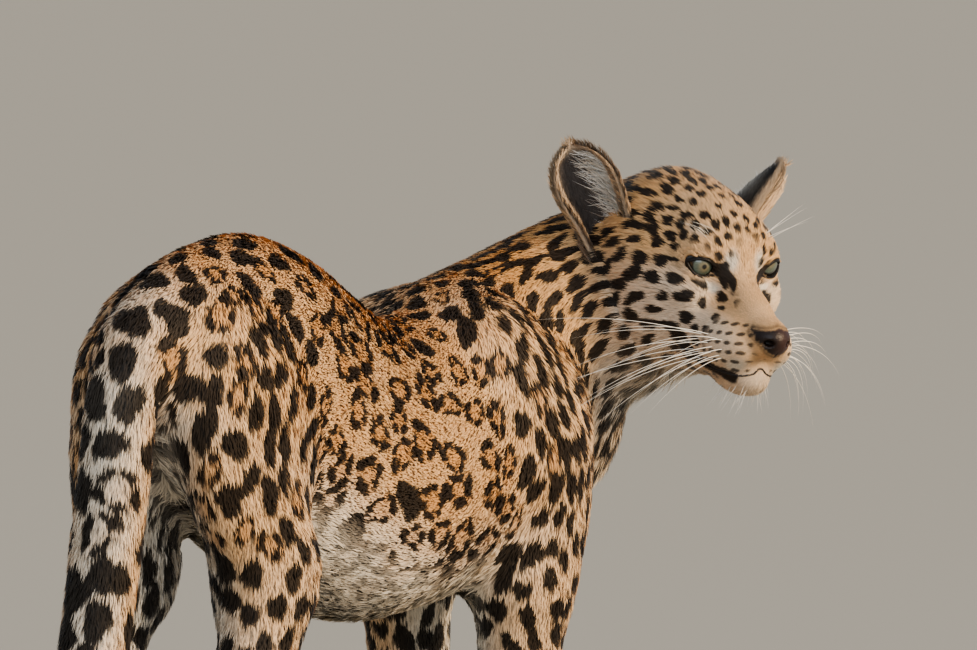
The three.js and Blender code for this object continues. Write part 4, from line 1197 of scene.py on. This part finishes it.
def vanes(roots, lie, normals, length, width, height, roll):
    """Five points for each tuft: a narrow curved blade that lies along the coat.

    Its root is sunk a little, its middle lies at 0.45 of the length and 0.72 of the height, and its tip at
    the whole of both. Its width runs across the lie, rolled about it, and ends at the point of the tip.
    """
    side = unit(np.cross(normals, lie))
    across = side * np.cos(roll)[:, None] + normals * np.sin(roll)[:, None]
    half = 0.5 * width[:, None] * across
    foot = roots - normals * ROOT_SUNK
    middle = roots + lie * (0.45 * length)[:, None] + normals * (0.72 * height)[:, None]
    tip = roots + lie * length[:, None] + normals * height[:, None]
    points = np.stack([foot - half * 0.8, foot + half * 0.8, middle - half, middle + half, tip], axis=1)
    return points.reshape(-1, 3)


def vane_faces(count):
    """The faces of so many tufts, each on five points of its own."""
    return ((np.arange(count) * 5)[:, None, None] + TUFT_FACES).reshape(-1, 3)


def tuft_unwrap(mesh, u, v):
    """The map OFBake: each tuft's corners in a patch PATCH across, at its root's place on the unwrap."""
    reach = PATCH / 2
    spread = np.array([(-reach, -reach), (reach, -reach), (-reach, 0), (reach, 0), (0, reach)])
    places = np.stack([u, v], axis=1)[:, None, :] + spread[None]
    corner = np.zeros(len(mesh.loops), np.int32)
    mesh.loops.foreach_get("vertex_index", corner)
    layer = mesh.uv_layers.new(name="OFBake")
    layer.data.foreach_set("uv", places.reshape(-1, 2)[corner].astype(np.float32).ravel())


def tuft_roots(count):
    """What the coat needs at the root of each tuft, drawn over the skin, closer where the tufts are finer."""
    skin = hide()
    fine = skin["shown"] / np.maximum(skin["numbers"][:, TUFT_STEP], 0.5) ** 2
    corners, weights = scattered(count, fine, 41)
    keys = ("points", "normals", "lie", "numbers", "pale", "deep", "head", "trunk", "along")
    data = {key: carried(corners, weights, key) for key in keys}
    first = corners[:, 0]
    for key in ("name", "ear"):
        data[key] = skin[key][first]
    same = (skin["name"][corners] == data["name"][:, None]).all(1)
    turn = skin["around"][corners]
    around = np.arctan2((np.sin(turn) * weights).sum(1), (np.cos(turn) * weights).sum(1))
    data["around"] = np.where(same, around, skin["around"][first])
    data["around"] = np.where(data["ear"] > 0, (turn * weights).sum(1), data["around"])
    data["along"] = np.where(same, data["along"], skin["along"][first])
    return data


def tuft_sizes(data, draw):
    """Length, height and width of each tuft: the numbers of its form, changed by region and at random.

    Tufts are short on the muzzle and round the eyes, and long on the nape and chin, under the ears, at the
    throat and along the belly.
    """
    settings = bpy.context.scene.leopard_coat
    count = len(data["points"])
    q = to_head(data["points"])
    face = data["head"] * (data["ear"] == 0)
    muzzle, nape, chin = step(20, 75, q[:, 0]), step(5, -50, q[:, 0]), step(-66, -80, q[:, 2])
    by_eye = face * step(21.0, 17.5, np.linalg.norm(mirrored(q) - EYE, axis=1))
    short = (1 - face * (0.62 * muzzle - 0.9 * nape - 0.5 * chin)) * (1 - 0.62 * by_eye)
    ruff = face * bump_of(mirrored(q), *EAR_RUFF)
    fringe = data["trunk"] * step(0.45, 1.0, data["pale"])
    throat = (data["ear"] == 0) * bump_of(q, *THROAT)
    length, height, spacing = (data["numbers"][:, key] for key in (LENGTH, LIFT, TUFT_STEP))
    length = length * short * (1 + fringe + 1.3 * throat + ruff) * draw.uniform(0.72, 1.25, count)
    height = height * short * draw.uniform(0.55, 1.12, count) * (1 + 0.25 * ripple(data["points"], 7, 53))
    height = height * (1 + 0.7 * fringe + 3.0 * throat + 1.6 * ruff)
    height = height * (1 - 0.4 * face * step(40, 80, q[:, 0]))
    height = np.minimum(height, 1 + np.maximum(data["points"][:, 2], 0.0))
    width = spacing * TUFT_WIDTH * draw.uniform(0.75, 1.25, count) * (1 - 0.3 * face * muzzle)
    return length * settings.length, height, width * settings.width


def coat(count):
    """All tufts of the coat as arrays: their points, colours and shading normals.

    A tuft has one colour, that of the hide under 0.6 of its length, darker at its root by painted shade and a
    little lighter at its tip by painted light, and it is shaded by the skin's normal with a small tilt, as a
    smooth coat is.
    """
    data = tuft_roots(count)
    draw = np.random.default_rng(42)
    normals = unit(data["normals"])
    lie = without(unit(data["lie"]), normals)
    clump = 0.14 * ripple(data["points"], 13, 51) + 0.1 * ripple(data["points"], 5, 52)
    swing = (clump + draw.normal(0, 0.1, count))[:, None]
    lie = lie * np.cos(swing) + np.cross(normals, lie) * np.sin(swing)
    length, height, width = tuft_sizes(data, draw)
    tint = hide_colour(data["points"] + lie * (0.6 * length)[:, None], *(data[key] for key in HIDE_KEYS))
    tone = np.exp(draw.normal(0, 0.08, count) + 0.05 * ripple(data["points"], 9, 54))
    tint = np.clip(tint * tone[:, None], 0, 1)
    roll = draw.normal(0, 0.34, count)
    points = vanes(data["points"], lie, normals, length, width, height, roll)
    points[:, 2] = np.maximum(points[:, 2], 0.05)
    tilt = np.cross(normals, lie) * (0.3 * roll)[:, None] - lie * (0.12 + 0.1 * draw.random(count))[:, None]
    # Painted shade and light: each tuft's root points are darkened and its tip lightened.
    colours = np.clip(tint[:, None, :] * TUFT_PAINTED_SHADING[None, :, None], 0, 1)
    data.update(points=points.reshape(count, 5, 3), colours=colours, shading=unit(normals - tilt))
    return data


def coat_piece(name, data):
    """One piece of the coat: the tufts that grow on its forms, each form in a column of the unwrap."""
    forms = COAT_PIECES[name]
    kept = np.flatnonzero(np.isin(data["name"], forms))
    if len(kept) > PIECE_TUFTS:
        kept = np.sort(np.random.default_rng(61).choice(kept, PIECE_TUFTS, replace=False))
    points = data["points"][kept].reshape(-1, 3)
    tints = {"coat": data["colours"][kept].reshape(-1, 3)}
    normals = np.repeat(data["shading"][kept], 5, axis=0)
    piece = add_mesh(name, points, vane_faces(len(kept)), tints, normals)
    column = np.array([forms.index(form) for form in data["name"][kept]])
    u = (column + 0.04 + 0.92 * (data["around"][kept] / (2 * math.pi) + 0.5)) / len(forms)
    low, high = SPANS.get(name, (0.0, 1.0))
    v = 0.03 + 0.94 * np.clip((data["along"][kept] - low) / (high - low), 0, 1)
    tuft_unwrap(piece.data, u, v)
    return piece


def eyeball(side, around=96, rings=80):
    """An eyeball in the animal's millimetres and its colours: rings about the line of sight.

    The radius is that of the ball and a little more over the iris, by a bell curve of the angle from the line
    of sight. The pupil and the iris are bands of that angle, the iris with fine rays and a dark edge.
    """
    sight = unit(np.array(GAZE[side]))
    right = without(np.array([0.0, 1.0, 0.0]), sight)
    up = np.cross(sight, right)
    angle = math.pi * np.linspace(0, 1, rings)[:, None] ** 1.7
    turn = np.linspace(0, 2 * math.pi, around, endpoint=False)[None, :]
    radius = EYE_RADIUS * (1 + CORNEA_RISE * np.exp(-((angle / CORNEA_SPREAD) ** 2))) - EYE_INSET
    round_part = right * np.cos(turn)[..., None] + up * np.sin(turn)[..., None]
    out = sight * np.cos(angle)[..., None] + round_part * np.sin(angle)[..., None]
    q = EYE * (1, side, 1) + radius[..., None] * out
    streaks = np.stack([turn * 9 + 0 * angle, angle * 4 + 0 * turn, 0 * turn + 0 * angle], -1)
    rays = ripple(streaks.reshape(-1, 3), 0.5, 71)
    angle = (angle + 0 * turn).ravel()
    share = np.clip((angle - PUPIL) / (IRIS - PUPIL), 0, 1)[:, None]
    tint = mix(colour("iris_inner"), colour("iris_outer"), step(0.0, 0.7, share)) * (1 + 0.22 * rays[:, None])
    tint = mix(tint, np.array([0.01, 0.008, 0.005]), step(0.8, 1.0, share))
    tint = mix(np.array([0.004, 0.004, 0.004]), tint, step(PUPIL - 0.05, PUPIL + 0.05, angle)[:, None])
    number = np.arange(rings * around).reshape(rings, around)
    following = np.roll(number, -1, axis=1)
    quads = np.stack([number[:-1], number[1:], following[1:], following[:-1]], -1).reshape(-1, 4)
    return from_head(q.reshape(-1, 3)), quads, np.clip(tint, 0, 1)


def tubes(paths, radii, around=6):
    """Round tapered hairs: a ring of points across each place of each path, the last one drawn to a point.

    paths is hairs by places by 3, radii hairs by places. A ring lies at right angles to the path.
    """
    tangents = unit(np.gradient(paths, axis=1))
    side = unit(np.cross(tangents, np.array([0.31, 0.17, 0.93])))
    up = np.cross(tangents, side)
    turn = np.linspace(0, 2 * math.pi, around, endpoint=False)
    ring = side[:, :, None] * np.cos(turn)[:, None] + up[:, :, None] * np.sin(turn)[:, None]
    points = paths[:, :, None] + ring * radii[:, :, None, None]
    number = np.arange(points[..., 0].size).reshape(points.shape[:3])
    following = np.roll(number, -1, axis=2)
    quads = np.stack([number[:, :-1], following[:, :-1], following[:, 1:], number[:, 1:]], -1)
    return points.reshape(-1, 3), quads.reshape(-1, 4)


def bent(roots, direction, length, sag, places=16):
    """Paths from roots: straight on, with a bend that grows as the square of the way along."""
    t = np.linspace(0, 1, places)[None, :, None]
    return roots[:, None] + direction[:, None] * (length[:, None, None] * t) + sag[:, None] * (t**2)


def on_head(q):
    """Places in the head's frame moved onto its closed skin."""
    for _ in range(4):
        d = closed_head(q)
        slope = slope_of(closed_head, q, d, 0.4)
        q = q - slope * (d / np.maximum((slope**2).sum(1), LEAST_SLOPE))[:, None]
    return q


def lip_lines():
    """The paths of the mouth's line and of the cleft under the nose, smoothed and set on the head's skin."""
    line = np.array([(x, -y, z) for x, y, z in MOUTH_LINE[:0:-1]] + MOUTH_LINE, float)
    paths = []
    for points in (line, np.array(LIP_CLEFT, float)):
        smooth = smooth_line(points, 8)
        for _ in range(3):
            smooth[1:-1] = 0.5 * smooth[1:-1] + 0.25 * (smooth[2:] + smooth[:-2])
        paths.append(on_head(smooth) - np.array([LIPS_SUNK, 0.0, 0.0]))
    return paths


def lips():
    """The dark edge of the mouth and the cleft: round strips in the groove, thin at their ends."""
    pieces = []
    start = 0
    for path, thick in zip(lip_lines(), LIPS_THICK):
        radii = thick * np.sqrt(np.clip(np.sin(np.linspace(0.02, math.pi - 0.02, len(path))), 0.05, 1))
        points, quads = tubes(from_head(path)[None], radii[None], around=8)
        pieces.append((points, quads + start))
        start += len(points)
    return np.vstack([p for p, _ in pieces]), np.vstack([q for _, q in pieces])


def whiskers():
    """Whiskers, brow hairs and chin hairs of both sides, as tubes.

    Whiskers stand in four rows on the pads and sweep out and back with a bend down, brow hairs rise from over
    each eye, and short hairs hang from the chin.
    """
    draw = np.random.default_rng(81)
    hairs = []
    for side in (1, -1):
        for row in range(4):
            for column in range(5):
                forward, above = 52 + 7.5 * column, -38 - 6 * row
                root = (forward + draw.uniform(-2, 2), side * 38, above + draw.uniform(-2, 2))
                ahead = -0.34 + 0.1 * column + draw.uniform(-0.1, 0.1)
                direction = (ahead, side * 0.95, 0.12 - 0.13 * row + draw.uniform(-0.08, 0.08))
                length = (128 - 15 * column) * draw.uniform(0.7, 1.12) * (1 if side < 0 else 0.8)
                hairs.append((root, direction, length, (-14, side * -6, -26 - 4 * row), WHISKER_THICK))
        for _ in range(5):
            root = (34 + draw.uniform(-5, 5), side * (28 + draw.uniform(-7, 7)), 38)
            direction = (0.2 + draw.uniform(-0.2, 0.2), side * draw.uniform(0.6, 0.9), draw.uniform(0.3, 0.7))
            length = draw.uniform(34, 58) * (1 if side > 0 else 0.6)
            hairs.append((root, direction, length, (-12, side * 4, -8), BROW_THICK))
        for _ in range(22):
            root = (76 + draw.uniform(-22, 20), side * draw.uniform(2, 22), -80)
            direction = (draw.uniform(-0.2, 0.35), side * draw.uniform(0.0, 0.6), -0.8)
            hairs.append((root, direction, draw.uniform(8, 22), (-4, 0, -2), CHIN_THICK))
    roots, directions, lengths, sags, thick = (np.array(values, float) for values in zip(*hairs))
    paths = bent(on_head(roots), unit(directions), lengths, sags)
    along = np.linspace(0, 1, paths.shape[1])[None]
    radii = thick[:, None] * np.clip(1.05 - along**1.3, 0.08, 1)
    return tubes(from_head(paths), radii, around=5)


def ear_hair(side, count=1500):
    """Long pale hairs in the ear's cup: blades from the front edge and the base that cross the cup."""
    sheets, outward, v, _ = ear_sheets(side)
    draw = np.random.default_rng(91 + side)
    row = (draw.beta(1.1, 2.2, count) * 0.8 * (v.shape[0] - 1)).astype(int)
    reach = draw.beta(1.0, 2.2, count)
    column = ((0.5 + side * (0.5 - 0.42 * reach)) * (v.shape[1] - 1)).astype(int)
    roots = sheets[1][row, column]
    normal = -outward[row, column]
    up = np.gradient(sheets[1], axis=0)[row, column]
    across = np.gradient(sheets[1], axis=1)[row, column] * -side
    upward = unit(up) * draw.uniform(0.2, 1.0, count)[:, None]
    inward = unit(across) * draw.uniform(0.3, 1.0, count)[:, None]
    lie = without(unit(upward + inward), normal)
    length = draw.uniform(12, 32, count)
    height = length * draw.uniform(0.15, 0.55, count)
    width = np.full(count, EAR_HAIR_WIDTH)
    points = vanes(roots, lie, normal, length, width, height, draw.normal(0, 0.5, count))
    return from_head(points), vane_faces(count)


def add_light(name, kind, settings, place, aim):
    """A light at a place in metres, pointed at another."""
    light = bpy.data.lights.new(name, kind)
    for key, value in settings.items():
        setattr(light, key, value)
    lamp = bpy.data.objects.new(name, light)
    bpy.context.scene.collection.objects.link(lamp)
    lamp.location = place
    lamp.rotation_euler = (Vector(aim) - Vector(place)).to_track_quat("-Z", "Y").to_euler()
    return lamp


class LeopardCoat(bpy.types.PropertyGroup):
    tufts: bpy.props.IntProperty(
        name="Tufts", description="How many tufts the coat has", default=470000, min=1000)
    length: bpy.props.FloatProperty(
        name="Length", description="Length of the tufts, 1 as usual", default=1.0, min=0.2, subtype="FACTOR")
    width: bpy.props.FloatProperty(
        name="Width", description="Width of the tufts, 1 as usual", default=1.0, min=0.2, subtype="FACTOR")


def tint_property(name, description, red, green, blue):
    """A colour of the panel, given as it looks on a screen and kept in linear light."""
    linear = tuple(
        c / 255 / 12.92 if c <= 10 else ((c / 255 + 0.055) / 1.055) ** 2.4 for c in (red, green, blue))
    return bpy.props.FloatVectorProperty(
        name=name, description=description, default=linear, size=3, min=0.0, max=1.0, subtype="COLOR")


class LeopardColours(bpy.types.PropertyGroup):
    ground: tint_property("Ground", "Tan of the flanks", 222, 176, 120)
    back: tint_property("Back", "Deeper tan along the spine", 206, 150, 88)
    pale: tint_property("Pale", "Underside, chin and inner legs", 232, 222, 204)
    black: tint_property("Marks", "Spots and rings", 24, 18, 14)
    heart: tint_property("Hearts", "Inside the rings", 196, 136, 72)
    nose: tint_property("Nose", "Bare skin of the nose", 66, 46, 42)
    lips: tint_property("Lips", "Edge of the mouth and lids", 20, 15, 13)
    ear_inside: tint_property("Ear inside", "Skin and short hair in the cup", 84, 76, 70)
    hair: tint_property("Hair", "Whiskers and long ear hair", 236, 232, 222)
    iris_inner: tint_property("Iris, inner", "Round the pupil", 112, 106, 84)
    iris_outer: tint_property("Iris, outer", "Towards the edge", 88, 98, 86)
    floor: tint_property("Floor", "Studio floor", 176, 172, 160)


class LeopardStage(bpy.types.PropertyGroup):
    sun: bpy.props.FloatProperty(
        name="Key", description="Strength of the soft key light", default=3.9, min=0.0)
    sky: bpy.props.FloatProperty(name="Fill", description="Strength of the even fill", default=0.55, min=0.0)
    lens: bpy.props.FloatProperty(
        name="Lens", description="The photograph's focal length", default=414.5, min=20.0, unit="CAMERA")


class LEOPARD_OT_stage(bpy.types.Operator):
    """Adds the plain floor, the soft studio light and the camera at the photograph's view"""

    bl_idname = "leopard.stage"
    bl_label = "Stage"

    def execute(self, context):
        scene = context.scene
        settings = scene.leopard_stage
        camera = bpy.data.cameras.new("Camera")
        camera.lens = settings.lens
        camera.sensor_width = 36.0
        camera.clip_end = 400.0
        view = bpy.data.objects.new("Camera", camera)
        scene.collection.objects.link(view)
        view.location = to_frame(np.array(CAMERA_PLACE))
        aim = Vector(to_frame(np.array(CAMERA_AIM)))
        view.rotation_euler = (aim - view.location).to_track_quat("-Z", "Y").to_euler()
        scene.camera = view
        scene.view_settings.look = "AgX - Medium High Contrast"
        across = np.linspace(-FLOOR_REACH, FLOOR_REACH, 9)
        grid = np.meshgrid(across, across, indexing="ij") + [np.full((9, 9), -0.05)]
        number = np.arange(81).reshape(9, 9)
        quads = np.stack([number[:-1, :-1], number[1:, :-1], number[1:, 1:], number[:-1, 1:]], -1)
        floor = add_mesh("floor", np.stack(grid, -1).reshape(-1, 3), quads.reshape(-1, 4))
        floor.data.materials.append(plain_material("studio floor", colour("floor"), 0.9))
        key = add_light(
            "key", "SUN", {"energy": settings.sun, "angle": math.radians(14), "color": KEY_TINT},
            (-0.2, -4.5, 1.9), LIGHT_AIM)
        fill = add_light(
            "fill", "AREA", {"energy": 120, "size": 4.0, "color": SKY_TINT}, (-4.6, -2.4, 2.6), LIGHT_AIM)
        world = bpy.data.worlds.new("studio")
        world.use_nodes = True
        world.node_tree.nodes["Background"].inputs["Color"].default_value = (*SKY_TINT, 1.0)
        world.node_tree.nodes["Background"].inputs["Strength"].default_value = settings.sky
        scene.world = world
        return {"FINISHED"}


class LEOPARD_OT_skin(bpy.types.Operator):
    """Adds the one skin of body, head and ears, with the lids' edges, in place of the CAD's nodes of flesh"""

    bl_idname = "leopard.skin"
    bl_label = "Skin"

    def execute(self, context):
        skin = hide()
        tint = hide_colour(skin["points"], *(skin[key] for key in HIDE_KEYS))
        bare = skin["head"] * leather(to_head(skin["points"])) * (skin["ear"] == 0)
        points, quads = [skin["points"]], [skin["quads"]]
        # Painted shade: the skin that shows between the tufts takes the coat's colour darkened to 0.8.
        tints, bares = [tint * 0.8], [bare]
        for side in (1, -1):
            start = sum(len(p) for p in points)
            edge, faces = lid_edge(side)
            points.append(edge)
            quads.append(faces + start)
            tints.append(np.tile(colour("lips"), (len(edge), 1)))
            bares.append(np.ones(len(edge)))
        piece = add_mesh("skin", np.vstack(points), np.vstack(quads),
                         {"coat": np.vstack(tints), "bare": np.concatenate(bares)})
        nodes = [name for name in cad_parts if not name.startswith("eye")]
        finish_piece(piece, skin_material(), nodes)
        return {"FINISHED"}


class LEOPARD_OT_coat(bpy.types.Operator):
    """Adds the coat's tufts in their pieces"""

    bl_idname = "leopard.coat"
    bl_label = "Coat"

    def execute(self, context):
        data = coat(context.scene.leopard_coat.tufts)
        material = coat_material()
        for name in COAT_PIECES:
            finish_piece(coat_piece(name, data), material)
        return {"FINISHED"}


class LEOPARD_OT_eyes(bpy.types.Operator):
    """Adds the two eyeballs in place of the CAD's"""

    bl_idname = "leopard.eyes"
    bl_label = "Eyes"

    def execute(self, context):
        material = eye_material()
        for side, node in ((1, "eye_left"), (-1, "eye_right")):
            points, quads, tint = eyeball(side)
            piece = add_mesh(f"{node}_ball", points, quads, {"coat": tint})
            finish_piece(piece, material, [node])
        return {"FINISHED"}


class LEOPARD_OT_lips(bpy.types.Operator):
    """Adds the dark edge of the lips"""

    bl_idname = "leopard.lips"
    bl_label = "Lips"

    def execute(self, context):
        piece = add_mesh("lips", *lips())
        finish_piece(piece, plain_material("leopard lips", colour("lips"), 0.45))
        return {"FINISHED"}


class LEOPARD_OT_hair(bpy.types.Operator):
    """Adds the whiskers, the brow and chin hairs and the long hair in the ears"""

    bl_idname = "leopard.hair"
    bl_label = "Long hair"

    def execute(self, context):
        material = plain_material("leopard whisker", colour("hair"), 0.4)
        finish_piece(add_mesh("whiskers", *whiskers()), material)
        for side, name in ((1, "ear_hair_left"), (-1, "ear_hair_right")):
            finish_piece(add_mesh(name, *ear_hair(side)), material)
        return {"FINISHED"}


OPERATORS = (
    LEOPARD_OT_stage, LEOPARD_OT_skin, LEOPARD_OT_coat, LEOPARD_OT_eyes, LEOPARD_OT_lips, LEOPARD_OT_hair,
)


class LEOPARD_PT_panel(bpy.types.Panel):
    """Lists the leopard's settings and pieces"""

    bl_label = "Leopard"
    bl_idname = "LEOPARD_PT_panel"
    bl_space_type = "VIEW_3D"
    bl_region_type = "UI"
    bl_category = "Leopard"

    def draw(self, context):
        layout = self.layout
        for group in ("leopard_coat", "leopard_colours", "leopard_stage"):
            settings = getattr(context.scene, group)
            box = layout.box()
            for name in settings.__annotations__:
                box.prop(settings, name)
        for operator in OPERATORS:
            layout.operator(operator.bl_idname)


GROUPS = {"leopard_coat": LeopardCoat, "leopard_colours": LeopardColours, "leopard_stage": LeopardStage}


def register():
    for group in (*GROUPS.values(), *OPERATORS, LEOPARD_PT_panel):
        bpy.utils.register_class(group)
    for name, group in GROUPS.items():
        setattr(bpy.types.Scene, name, bpy.props.PointerProperty(type=group))


def unregister():
    for name in GROUPS:
        delattr(bpy.types.Scene, name)
    for group in (LEOPARD_PT_panel, *reversed(OPERATORS), *reversed(tuple(GROUPS.values()))):
        bpy.utils.unregister_class(group)


def main():
    register()
    for operator in OPERATORS:
        group, name = operator.bl_idname.split(".")
        getattr(getattr(bpy.ops, group), name)()


if __name__ == "__main__":
    main()
